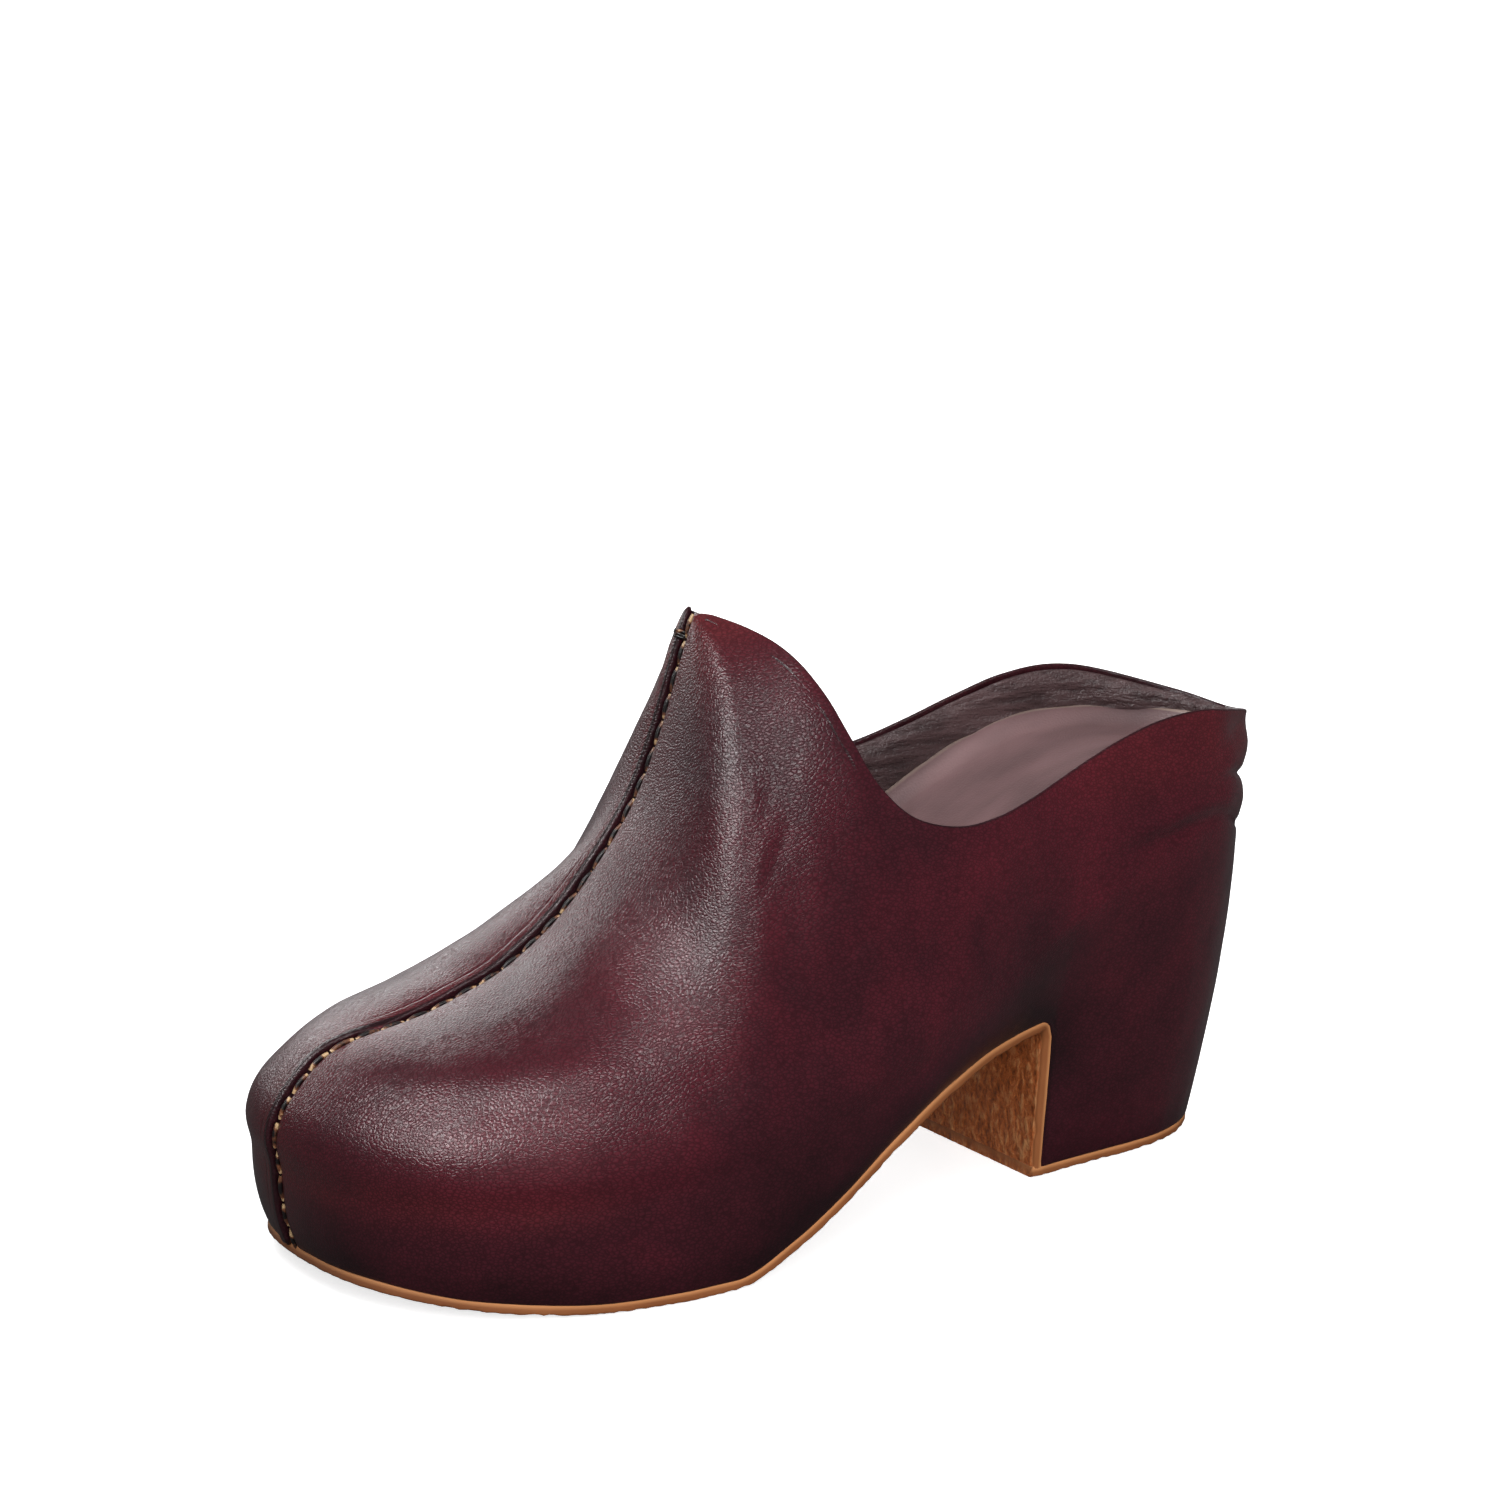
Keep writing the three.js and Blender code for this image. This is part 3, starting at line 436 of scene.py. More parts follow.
def pebbled_leather(colours):
    """Drum-dyed cowhide, pebbled, with painted shade near-black towards its edges and a painted red glow
    along its seam, throat and collar.
    """
    material, tree, shader = new_material("pebbled_leather")
    place = add_node(tree, "ShaderNodeTexCoord", output="Object")
    leaning = add_node(tree, MAPPING,
                       {"Vector": place, "Rotation": (0.5, 0.0, 0.35), "Scale": (1.0, 0.72, 1.15)})
    grain = pebbles(tree, leaning, GRAIN)
    clouds = add_node(tree, NOISE, {"Vector": place, "Scale": per_mm(34), "Detail": 3.0, "Roughness": 0.55})
    blotches = add_node(tree, NOISE, {"Vector": place, "Scale": per_mm(9), "Detail": 3.0, "Roughness": 0.6})
    # Per-point masks from leather_finish: painted shade, a painted red glow, and where the leather is
    # stretched.
    dark = add_node(tree, ATTRIBUTE, output="Fac", attribute_name="burnish")
    glow_mask = add_node(tree, ATTRIBUTE, output="Fac", attribute_name="rubbed")
    stretched = add_node(tree, ATTRIBUTE, output="Fac", attribute_name="stretched")

    mottle = add_node(tree, MATHS, {0: clouds, 1: 1.1, 2: -0.5}, operation="MULTIPLY_ADD")
    mottle = add_node(tree, MATHS, {0: blotches, 1: 0.4, 2: mottle}, operation="MULTIPLY_ADD")
    # The painted shade, broken up by random mottling, takes the colour from red through oxblood to black.
    shade = add_node(tree, MATHS, {0: dark, 1: 0.7, 2: mottle}, operation="MULTIPLY_ADD")
    base = add_node(tree, RAMP, {"Fac": shade},
                    stops=((0.0, colours.red[:]), (1.0, colours.black[:]), (0.5, colours.oxblood[:])))
    # The painted glow, broken up by blotches, lifts the colour towards a brighter red.
    patchy = add_node(tree, RAMP, {"Fac": blotches}, stops=((0.25, 0.3), (0.7, 1.0)))
    rubbed = add_node(tree, MATHS, {0: glow_mask, 1: patchy}, operation="MULTIPLY")
    base = add_node(tree, MIX, {MIX_FACTOR: rubbed, MIX_A: base, MIX_B: colours.rubbed[:]}, MIX_RESULT,
                    data_type="RGBA")
    # The pebbles' creases are painted darker, as shade.
    grain_crease_shade = add_node(tree, RAMP, {"Fac": grain}, stops=((0.1, 0.42), (0.75, 1.0)))
    base = add_node(tree, MIX, {MIX_FACTOR: 0.8, MIX_A: base, MIX_B: grain_crease_shade}, MIX_RESULT, data_type="RGBA",
                    blend_type="MULTIPLY")
    tree.links.new(base, shader.inputs["Base Color"])

    gloss = add_node(tree, RAMP, {"Fac": blotches}, stops=((0.3, 0.29), (0.8, 0.36)))
    tree.links.new(gloss, shader.inputs["Roughness"])
    shader.inputs["Specular IOR Level"].default_value = 0.45
    swell = add_node(tree, NOISE, {"Vector": place, "Scale": per_mm(6), "Detail": 2.0})
    soft = add_node(tree, BUMP, {"Height": swell, "Distance": 0.5 * MM, "Strength": 0.15}, "Normal")
    flattened = add_node(tree, MATHS, {0: stretched, 1: -0.75, 2: 1.0}, operation="MULTIPLY_ADD")
    relief = add_node(tree, MATHS, {0: grain, 1: flattened}, operation="MULTIPLY")
    coarse = add_node(tree, BUMP, {"Height": relief, "Distance": 0.07 * MM, "Strength": 0.9, "Normal": soft},
                      "Normal")
    pores = add_node(tree, NOISE, {"Vector": place, "Scale": per_mm(0.35), "Detail": 2.0})
    fine = add_node(tree, BUMP, {"Height": pores, "Distance": 0.02 * MM, "Strength": 0.3, "Normal": coarse},
                    "Normal")
    tree.links.new(fine, shader.inputs["Normal"])
    return material


def lining_leather(colours):
    """Soft vegetable-tanned lining: matt, creased along the foot, with a fine open grain."""
    material, tree, shader = new_material("lining_leather")
    place = add_node(tree, "ShaderNodeTexCoord", output="Object")
    grain = pebbles(tree, place, 1.2)
    along = add_node(tree, MAPPING, {"Vector": place, "Scale": (1.0, 0.3, 1.7)})
    creases = add_node(tree, NOISE, {"Vector": along, "Scale": per_mm(3.6), "Detail": 4.0, "Roughness": 0.6})
    clouds = add_node(tree, NOISE, {"Vector": place, "Scale": per_mm(25), "Detail": 3.0})
    base = add_node(tree, RAMP, {"Fac": clouds},
                    stops=((0.3, colours.lining_dark[:]), (0.7, colours.lining[:])))
    # The creases' valleys are painted darker, as shade.
    lining_crease_shade = add_node(tree, RAMP, {"Fac": creases}, stops=((0.35, 0.45), (0.55, 1.0)))
    base = add_node(tree, MIX, {MIX_FACTOR: 0.8, MIX_A: base, MIX_B: lining_crease_shade}, MIX_RESULT, data_type="RGBA",
                    blend_type="MULTIPLY")
    tree.links.new(base, shader.inputs["Base Color"])
    shader.inputs["Roughness"].default_value = 0.42
    soft = add_node(tree, BUMP, {"Height": creases, "Distance": 1.8 * MM, "Strength": 1.0}, "Normal")
    fine = add_node(tree, BUMP, {"Height": grain, "Distance": 0.25 * MM, "Strength": 0.5, "Normal": soft},
                    "Normal")
    tree.links.new(fine, shader.inputs["Normal"])
    return material


def sock_leather(colours):
    """Smooth sock leather, pressed flat: faint grain, a little sheen, and a paler raw cut edge."""
    material, tree, shader = new_material("sock_leather")
    place = add_node(tree, "ShaderNodeTexCoord", output="Object")
    grain = pebbles(tree, place, 1.0)
    along = add_node(tree, MAPPING, {"Vector": place, "Scale": (1.6, 0.5, 1.0)})
    clouds = add_node(tree, NOISE, {"Vector": along, "Scale": per_mm(22), "Detail": 3.0})
    base = add_node(tree, RAMP, {"Fac": clouds}, stops=((0.3, colours.lining[:]), (0.7, colours.sock[:])))
    cut = add_node(tree, ATTRIBUTE, output="Fac", attribute_name="cut_edge")
    base = add_node(tree, MIX, {MIX_FACTOR: cut, MIX_A: base, MIX_B: colours.raw_edge[:]}, MIX_RESULT,
                    data_type="RGBA")
    tree.links.new(base, shader.inputs["Base Color"])
    shader.inputs["Roughness"].default_value = 0.45
    soft = add_node(tree, BUMP, {"Height": clouds, "Distance": 0.6 * MM, "Strength": 0.3}, "Normal")
    fine = add_node(tree, BUMP, {"Height": grain, "Distance": 0.12 * MM, "Strength": 0.4, "Normal": soft},
                    "Normal")
    tree.links.new(fine, shader.inputs["Normal"])
    return material


def crepe_rubber(colours):
    """Plantation crepe, sliced from the sheet: smooth on its cut edge and fibrous on its open face."""
    material, tree, shader = new_material("crepe_rubber")
    place = add_node(tree, "ShaderNodeTexCoord", output="Object")
    upright = add_node(tree, MAPPING,
                       {"Vector": place, "Rotation": (0.3, 0.35, 0.0), "Scale": (1.5, 1.5, 0.75)})
    strands = add_node(tree, NOISE,
                       {"Vector": upright, "Scale": per_mm(2.6), "Detail": 5.0, "Roughness": 0.62})
    crumbs = add_node(tree, NOISE, {"Vector": place, "Scale": per_mm(1.1), "Detail": 4.0, "Roughness": 0.7})
    clouds = add_node(tree, NOISE, {"Vector": place, "Scale": per_mm(14), "Detail": 3.0})
    face = add_node(tree, ATTRIBUTE, output="Fac", attribute_name="open_face")
    # A painted highlight along the cut rim's upper edge.
    light = add_node(tree, ATTRIBUTE, output="Fac", attribute_name="edge_light")
    # The open face is paler where its fibres stand high and darker where they lie low: painted highlight and
    # shade that follow its bump.
    fibres = add_node(tree, MATHS, {0: strands, 1: 0.65, 2: 0.0}, operation="MULTIPLY_ADD")
    fibres = add_node(tree, MATHS, {0: crumbs, 1: 0.35, 2: fibres}, operation="MULTIPLY_ADD")
    patches = add_node(tree, MATHS, {0: clouds, 1: 0.35, 2: -0.16}, operation="MULTIPLY_ADD")
    tone = add_node(tree, MATHS, {0: fibres, 1: patches}, operation="ADD")
    open_colour = add_node(tree, RAMP, {"Fac": tone},
                           stops=((0.36, colours.crepe_dark[:]), (0.68, colours.crepe_light[:]),
                                  (0.52, colours.crepe_open[:])))
    cut_colour = add_node(tree, MIX, {MIX_FACTOR: clouds, MIX_A: colours.crepe_dark[:],
                                      MIX_B: colours.crepe_cut[:]}, MIX_RESULT, data_type="RGBA")
    cut_colour = add_node(tree, MIX, {MIX_FACTOR: light, MIX_A: cut_colour, MIX_B: colours.crepe_light[:]},
                          MIX_RESULT, data_type="RGBA")
    base = add_node(tree, MIX, {MIX_FACTOR: face, MIX_A: cut_colour, MIX_B: open_colour}, MIX_RESULT,
                    data_type="RGBA")
    tree.links.new(base, shader.inputs["Base Color"])
    shader.inputs["Roughness"].default_value = 0.75
    knife = add_node(tree, NOISE, {"Vector": place, "Scale": per_mm(0.8), "Detail": 3.0})
    edge = add_node(tree, BUMP, {"Height": knife, "Distance": 0.12 * MM, "Strength": 0.4}, "Normal")
    shag = add_node(tree, MATHS, {0: fibres, 1: face}, operation="MULTIPLY")
    deep = add_node(tree, BUMP, {"Height": shag, "Distance": 1.6 * MM, "Strength": 0.9, "Normal": edge},
                    "Normal")
    tree.links.new(deep, shader.inputs["Normal"])
    return material


def waxed_thread(colours):
    """Waxed linen thread: black with handling and wax where it lies, undyed where it enters its holes."""
    material, tree, shader = new_material("waxed_thread")
    place = add_node(tree, "ShaderNodeTexCoord", output="Object")
    end = add_node(tree, ATTRIBUTE, output="Fac", attribute_name="bare")
    flecks = add_node(tree, NOISE, {"Vector": place, "Scale": per_mm(1.6), "Detail": 2.0})
    height = add_node(tree, "ShaderNodeSeparateXYZ", {"Vector": place}, "Z")
    up_the_seam = add_node(tree, MATHS, {0: height, 1: 1 / SEAM_HEIGHT}, operation="MULTIPLY")
    handled = add_node(tree, RAMP, {"Fac": up_the_seam},
                       stops=((0.3, 0.12), (0.9, 0.5), (0.42, 0.0), (0.83, 0.0)))
    bare = add_node(tree, MATHS, {0: end, 1: flecks}, operation="ADD")
    bare = add_node(tree, MATHS, {0: bare, 1: handled}, operation="ADD")
    base = add_node(tree, RAMP, {"Fac": bare},
                    stops=((0.72, colours.thread_black[:]), (1.25, colours.thread[:]),
                           (0.95, colours.thread_tan[:])))
    tree.links.new(base, shader.inputs["Base Color"])
    shader.inputs["Roughness"].default_value = 0.42
    lay = add_node(tree, NOISE, {"Vector": place, "Scale": per_mm(0.45), "Detail": 2.0})
    relief = add_node(tree, BUMP, {"Height": lay, "Distance": 0.15 * MM, "Strength": 0.7}, "Normal")
    tree.links.new(relief, shader.inputs["Normal"])
    return material


def alder_wood():
    """Alder, planed and left bare: pale, with long fine grain along the foot."""
    material, tree, shader = new_material("alder_wood")
    place = add_node(tree, "ShaderNodeTexCoord", output="Object")
    along = add_node(tree, MAPPING, {"Vector": place, "Scale": (1.0, 0.12, 1.0)})
    rings = add_node(tree, "ShaderNodeTexWave",
                     {"Vector": along, "Scale": per_mm(55), "Distortion": 4.0, "Detail": 3.0}, "Fac",
                     wave_type="RINGS", rings_direction="Y")
    base = add_node(tree, RAMP, {"Fac": rings}, stops=((0.2, colour(0xC99C66)), (0.9, colour(0xE0BE8C))))
    tree.links.new(base, shader.inputs["Base Color"])
    shader.inputs["Roughness"].default_value = 0.6
    pores = add_node(tree, NOISE, {"Vector": along, "Scale": per_mm(1.0), "Detail": 3.0})
    relief = add_node(tree, BUMP, {"Height": pores, "Distance": 0.1 * MM, "Strength": 0.4}, "Normal")
    tree.links.new(relief, shader.inputs["Normal"])
    return material


def speckled(name, light_hex, dark_hex, grain, roughness, depth, metallic=0.0):
    """Stock for a hidden piece, such as board, foam, tape or steel: an even speckle of a real grain size."""
    material, tree, shader = new_material(name)
    place = add_node(tree, "ShaderNodeTexCoord", output="Object")
    speckle = add_node(tree, NOISE,
                       {"Vector": place, "Scale": per_mm(grain), "Detail": 4.0, "Roughness": 0.65})
    base = add_node(tree, RAMP, {"Fac": speckle}, stops=((0.35, colour(dark_hex)), (0.65, colour(light_hex))))
    tree.links.new(base, shader.inputs["Base Color"])
    shader.inputs["Roughness"].default_value = roughness
    shader.inputs["Metallic"].default_value = metallic
    relief = add_node(tree, BUMP, {"Height": speckle, "Distance": depth * MM, "Strength": 0.6}, "Normal")
    tree.links.new(relief, shader.inputs["Normal"])
    return material


def fibre_board():
    """Pressed fibre board, as stiffeners and fillers are cut from: matt, with an even speckle."""
    return speckled("fibre_board", 0x9A8A70, 0x75664E, 0.7, 0.9, 0.15)


# ---- the upper ----

FINE = 1.05  # spacing of the upper's columns
UPPER_ROWS, WALL_ROWS, HEEL_ROWS = 84, 36, 32  # rows above the feather line, below it and down the heel
STITCH_OFF = 2.4  # distance of the stitches from the middle seam
RIB = 0.8  # how far the medial half stands proud along the seam
RIB_WIDTH = 2.6
CHANNEL = 0.95  # how far the lateral half lies below the form there
EDGE_SHADE = 0.8  # turned edges are painted dark, as shade where they roll under and inwards

# Kinds of edge on a half of the upper, and how each is turned: the radius of its bend, how far round it
# goes, and how far it runs on.
UNDERSIDE, BACK_SEAM, OPENING, MIDDLE_SEAM = range(4)
QUARTER = math.pi / 2
EDGE_FOLDS = [(0.7, QUARTER, 4.0), (0.45, QUARTER, 1.2), (0.55, math.pi, 3.0)]
SEAM_FOLDS = {LATERAL_SIDE: (0.3, 0.0, 2.6), MEDIAL_SIDE: (0.75, QUARTER, 2.0)}


def columns_between(side, start, end, spacing):
    """Stations spaced evenly along the feather line."""
    u = np.linspace(start, end, 2000)
    line = station_row(side, u)[:, :2]
    run = np.concatenate([[0], np.cumsum(np.linalg.norm(np.diff(line, axis=0), axis=1))])
    count = max(int(run[-1] / spacing), 2)
    return np.interp(np.linspace(0, run[-1], count + 1), run, u)


def upper_levels(count):
    """Levels from the feather line to the top edge, closer together towards the top."""
    return 1 - (1 - np.linspace(0, 1, count + 1)) ** 1.35


def unevenness(points, wavelength, depth):
    """Gentle swells, as leather shows when it is drawn over wood by hand."""
    return np.array([noise.noise(Vector(p / wavelength)) for p in points]) * depth


def crease(points, start, end, width):
    """1 along a line between two points and fading off it and towards its ends."""
    a, b = np.array(start, float), np.array(end, float)
    t = np.clip((points - a) @ (b - a) / ((b - a) @ (b - a)), 0, 1)
    away = np.linalg.norm(points - a - t[:, None] * (b - a), axis=1)
    return bell(away, width) * smooth(0, 0.25, t) * smooth(1, 0.75, t)


# Small creases where the foot bends, as start, end, width and depth.
CREASES = (
    ((40, -34, 86), (33, -22, 104), 1.6, 0.35),
    ((44, -34, 78), (39, -20, 97), 1.4, 0.3),
    ((51, -20, 64), (48, 2, 76), 1.6, 0.3),
)
ridge_z = profile((66, 79), (82, 80.5), (93, 82), (107, 81.5), (115, 79), (122, 78.5))
SHOULDER_Z = 46.5  # where the toe box flattens into the vamp


def seam_distance(points):
    """Distance from the middle seam, kept large away from the vamp."""
    away = np.abs(points[:, 0] - seam_x(points[:, 1]))
    return np.where(points[:, 1] < 20, away, 99.0)


def toe_shoulder(points):
    """The toe box: drawn full and hard over the wood, then sunk where it meets the soft vamp."""
    x, y, z = points.T
    level = z - SHOULDER_Z - 0.07 * np.clip(y + 105, 0, 40)
    sunk = -0.6 * bell(level - 8.0, 3.6) * smooth(-62, -90, y) * smooth(52, 34, np.abs(x + 2))
    full = 0.85 * bell(level - 1.0, 4.0) * smooth(-52, -84, y)
    return sunk + full


def heel_folds(side, points):
    """Folds over the heel: a ridge that runs down and forward between two valleys, under a full collar."""
    y, z = points[:, 1], points[:, 2]
    level = z - ridge_z(y)
    at_back = smooth(98, 115, y)
    reach = smooth(62, 84, y) if side == LATERAL_SIDE else smooth(88, 112, y)
    ridge = (0.7 + 0.3 * at_back) * bell(level, 2.6 + 1.4 * at_back)
    below = -0.8 * bell(level + 3.4 + 3.0 * at_back, 1.8 - 0.6 * at_back)
    above = -1.1 * at_back * bell(level - 5.4, 1.3)
    collar = at_back * (0.7 * bell(z - 89.5, 3.2) - 1.6 * smooth(91, 97, z))
    return reach * (ridge + below + above + collar)


def shaping(side, points):
    """How every layer stands off the plain form: over the wood's edge, at the toe and in the folds."""
    y, z = points[:, 1], points[:, 2]
    above = z - wood_top(y)
    forward = smooth(45, -10, y)
    rise = forward * 1.3 * smooth(-3.5, 4.5, above) * smooth(20, 6, above)
    rise += toe_shoulder(points) + heel_folds(side, points)
    if side == LATERAL_SIDE:
        for start, end, width, depth in CREASES:
            rise -= depth * crease(points, start, end, width)
    return rise


def relief(side, points):
    """How far the leather's own face stands off the plain form, along its normal."""
    off_seam = seam_distance(points)
    rise = shaping(side, points) + unevenness(points, 19, 0.22) + unevenness(points, 6.5, 0.07)
    if side == MEDIAL_SIDE:
        rib = RIB * smooth(RIB_WIDTH + 0.5, RIB_WIDTH, off_seam)
        return rise + rib - 0.3 * bell(off_seam - RIB_WIDTH - 0.6, 0.45)
    return rise - CHANNEL * smooth(STITCH_OFF + 1.5, STITCH_OFF - 0.8, off_seam)


def finish_loop(points, normals, ring, radius, sweep, reach, steps=6):
    """Turns a sheet's edge over. ring is its boundary, seen from outside with the sheet on the left.

    radius, sweep and reach have one value for each of the ring's points: the edge bends through sweep
    about a centre radius behind the face, and runs straight on by reach.
    """
    edge, face = points[ring], normals[ring]
    tangent = unit(np.roll(edge, -1, axis=0) - np.roll(edge, 1, axis=0))
    outward = unit(np.cross(tangent, face))
    radius, sweep, reach = (np.asarray(v, float)[:, None] for v in (radius, sweep, reach))
    rows = []
    for step in range(1, steps + 1):
        angle = sweep * step / steps
        rows.append(edge - face * radius + radius * (face * np.cos(angle) + outward * np.sin(angle)))
    on = -face * np.sin(sweep) + outward * np.cos(sweep)
    rows += [rows[-1] + on * reach * share for share in (0.35, 1.0)]
    return rows


def soften(values, width):
    """Evens a closed run of values over a few neighbours."""
    for _ in range(width):
        values = (np.roll(values, 1, axis=0) + values * 2 + np.roll(values, -1, axis=0)) / 4
    return values


def ring_faces(ring, rows, first):
    """Quads joining a boundary ring to the rows of new points beyond it."""
    count = len(ring)
    index = np.vstack([ring] + [first + i * count + np.arange(count) for i in range(len(rows))])
    index = np.hstack([index, index[:, :1]])
    return grid_faces(index)[:, ::-1]


def upper_half(side):
    """Points, faces and finish of one half of the upper, with every edge turned."""
    split = station_at(side, BREAST_Y)
    front = columns_between(side, 0, split, FINE)
    back = columns_between(side, split, LAST, FINE)
    u = np.concatenate([front, back[1:]])
    heel = len(front) - 1  # first column of the heel
    foot = wood_top(station_row(side, u)[:, 1])
    low = shank_z(station_row(side, u)[:, 1])
    share = np.linspace(0, 1, WALL_ROWS + 1)[:-1, None]
    wall = wall_point(side, np.tile(u, (WALL_ROWS, 1)), low + (foot - low) * share)
    levels = upper_levels(UPPER_ROWS)
    body = np.concatenate([wall, upper_point(side, *spread(u, levels))])
    band = wall_point(side, *spread(u[heel:], np.linspace(SHEET, APEX_Z, HEEL_ROWS + 1)[:-1]))
    points = np.concatenate([body.reshape(-1, 3), band.reshape(-1, 3)])
    main = grid_index(body)
    lower = np.vstack([main.size + grid_index(band), main[:1, heel:]])
    quads = np.concatenate([grid_faces(main), grid_faces(lower)])
    # The boundary, with the sheet on its left as seen from the lateral side.
    top = main[-1]
    ring = np.concatenate([main[0, :heel], lower[:0:-1, 0], lower[0, :-1], lower[:-1, -1], main[:-1, -1],
                           top[:0:-1], main[:0:-1, 0]])
    kinds = np.concatenate([np.full(len(lower) + len(u) - 2, UNDERSIDE),
                            np.full(len(lower) + len(main) - 2, BACK_SEAM),
                            np.where(u[:0:-1] > THROAT, OPENING, MIDDLE_SEAM),
                            np.full(len(main) - 1, MIDDLE_SEAM)])
    if side == MEDIAL_SIDE:
        quads, ring, kinds = quads[:, ::-1], ring[::-1], kinds[::-1]
    normals = evened(vertex_normals(points, quads), quads, 10)
    points = points + normals * relief(side, points)[:, None]
    normals = evened(vertex_normals(points, quads), quads, 3)
    folds = np.array(EDGE_FOLDS + [SEAM_FOLDS[side]])
    radius, sweep, reach = soften(folds[kinds], 3).T
    rows = finish_loop(points, normals, ring, radius, sweep, reach)
    faces = ring_faces(ring, rows, len(points))
    finish = leather_finish(side, points)
    # Turned edges get painted shade and only a little of the painted glow.
    turned = {"burnish": np.full(len(ring), EDGE_SHADE), "rubbed": finish["rubbed"][ring] * 0.15,
              "stretched": finish["stretched"][ring]}
    finish = {key: np.concatenate([value] + [turned[key]] * len(rows)) for key, value in finish.items()}
    return np.concatenate([points] + rows), np.concatenate([quads, faces]), finish


def leather_finish(side, points):
    """Where the leather gets painted shade, a painted red glow, or is stretched smooth."""
    x, y, z = points.T
    foot = wood_top(y)
    off_seam = seam_distance(points)
    wall = smooth(2, -9, z - foot)
    collar = smooth(40, 70, y) * smooth(80, 96, z)
    throat = bell(np.hypot(x + 2, z - 131), 17)
    apex = bell(np.hypot(y - BREAST_Y, z - APEX_Z), 12)
    sole_edge = smooth(9, 0, z - np.where(y > BREAST_Y, SHEET, shank_z(np.minimum(y, BREAST_Y - 0.01))))
    instep = bell(np.hypot(y + 18, (z - 100) * 0.8), 26) * smooth(10, 30, x)
    # Painted shade: darker down the walls, towards the sole's edge, under the heel's front, round the back of
    # the heel, on the lateral instep, over the medial half and low along the sides.
    burnish = 0.3 * wall + 0.35 * sole_edge + 0.3 * apex + 0.4 * smooth(104, 124, y) + 0.3 * instep
    burnish += 0.3 * smooth(-12, -36, x) + 0.35 * smooth(-70, -15, y) * smooth(62, 40, y) * smooth(82, 60, z)
    # The seam's gap is painted near-black, as shade: on the lateral half across the channel where the
    # stitches lie, on the medial half along the rib's edge.
    if side == LATERAL_SIDE:
        seam_gap_shade = smooth(STITCH_OFF, STITCH_OFF - 0.9, off_seam)
    else:
        seam_gap_shade = smooth(1.0, 0.3, off_seam)
    burnish += 2 * seam_gap_shade
    # Painted glow: a lighter red along the seam, at the throat, round the top of the collar and low on the
    # toe's wall, none in the seam's gap.
    rubbed = 0.45 * bell(off_seam, 8) + 0.75 * throat + 0.4 * collar
    rubbed += 0.35 * bell(z - foot + 2, 5) * smooth(-60, -90, y)
    rubbed *= 1 - seam_gap_shade
    stretched = np.clip(0.75 * wall + 0.35 * smooth(70, 100, y), 0, 1)
    return {"burnish": np.clip(burnish, 0, 2), "rubbed": np.clip(rubbed, 0, 1), "stretched": stretched}


# ---- linings and footbed ----

# A piece's skin is its thickness, and its depth is how far its outer face lies behind the leather's face.
LINING_SKIN = 0.8
LINING_DEPTH = 1.2  # near the opening
STIFFENED_DEPTH = 2.85  # over the stiffeners
LINING_TOP = 0.35  # the lining stops this far below the folded edge
LINING_LEVELS, LINING_ROWS = 90, 56  # levels the lining is worked out at, and rows it is made with
BOARD_DEPTH = 1.5
TAPE_DEPTH, TAPE_SKIN = 2.0, 0.35
TOE_LEVELS = (0.06, 0.86)  # how far up the form the toe puff reaches
HEEL_LEVELS = (0.06, 0.62)  # how far up the heel counter does
SOCK_DEPTH = 3.85  # at the sock's edge
FOOTBED_ENDS = (0.25, LAST - 0.12)  # the stations where the footbed starts and stops
PAD_LINES = (26, 110)  # across the pad and along it
PAD_THICKNESS = 2.9
FOOT_MIDDLE = np.array([-4.0, 30.0, 0.0])  # a point well inside the linings


def inner_surface(side, u, levels, depth):
    """The upper's form moved inwards. depth is one number, or one for each point."""
    points = upper_point(side, *spread(u, levels))
    flat = points.reshape(-1, 3)
    quads = grid_faces(grid_index(points), side == MEDIAL_SIDE)
    normals = vertex_normals(flat, quads).reshape(points.shape)
    normals[:, u == LAST] = unit(normals[:, u == LAST] * [0, 1, 1])
    normals[:, u == 0] = unit(normals[:, u == 0] * [0, 1, 1])
    depth = depth - shaping(side, flat).reshape(points.shape[:2])
    return points - normals * depth[..., None]


def column_runs(points):
    """Length along each column, from its lowest row."""
    step = np.linalg.norm(np.diff(points, axis=0), axis=2)
    return np.vstack([np.zeros(points.shape[1]), np.cumsum(step, axis=0)])


def lining_grid(side, start, end):
    """The lining's visible face between two stations, from under the sock to just below the edge."""
    u = columns_between(side, start, end, 1.2)
    levels = np.linspace(0.02, 1, LINING_LEVELS)
    numbers = np.arange(LINING_LEVELS)
    run = column_runs(upper_point(side, *spread(u, levels)))
    clear = np.where(u[None, :] > THROAT + 0.3, smooth(0.99, 0.86, levels)[:, None], 1.0)
    depth = LINING_DEPTH + (STIFFENED_DEPTH - LINING_DEPTH) * clear + LINING_SKIN
    full = inner_surface(side, u, levels, depth)
    feet = station_row(side, u)[:, 1]
    lowest = footbed_z(feet) - 5
    rows = []
    for j in range(len(u)):
        opening = u[j] > THROAT
        last = np.interp(run[-1, j] - (LINING_TOP if opening else 0.2), run[:, j], numbers)
        z = full[:, j, 2]
        first = np.interp(min(lowest[j], z[-1] - 6), np.maximum.accumulate(z), numbers)
        at = np.linspace(min(first, last - 3), last, LINING_ROWS)
        rows.append(np.stack([np.interp(at, numbers, full[:, j, k]) for k in range(3)], -1))
    return np.stack(rows, 1)


def wrinkled(points, depth):
    """Wrinkles that run along the foot, as offsets across the face."""
    flat = points.reshape(-1, 3) / np.array([7.0, 19.0, 3.4])
    wrinkle = np.array([noise.noise(Vector(p)) for p in flat]) + 0.45 * np.array(
        [noise.noise(Vector(p * 2.3)) for p in flat])
    return (wrinkle * depth).reshape(points.shape[:2])


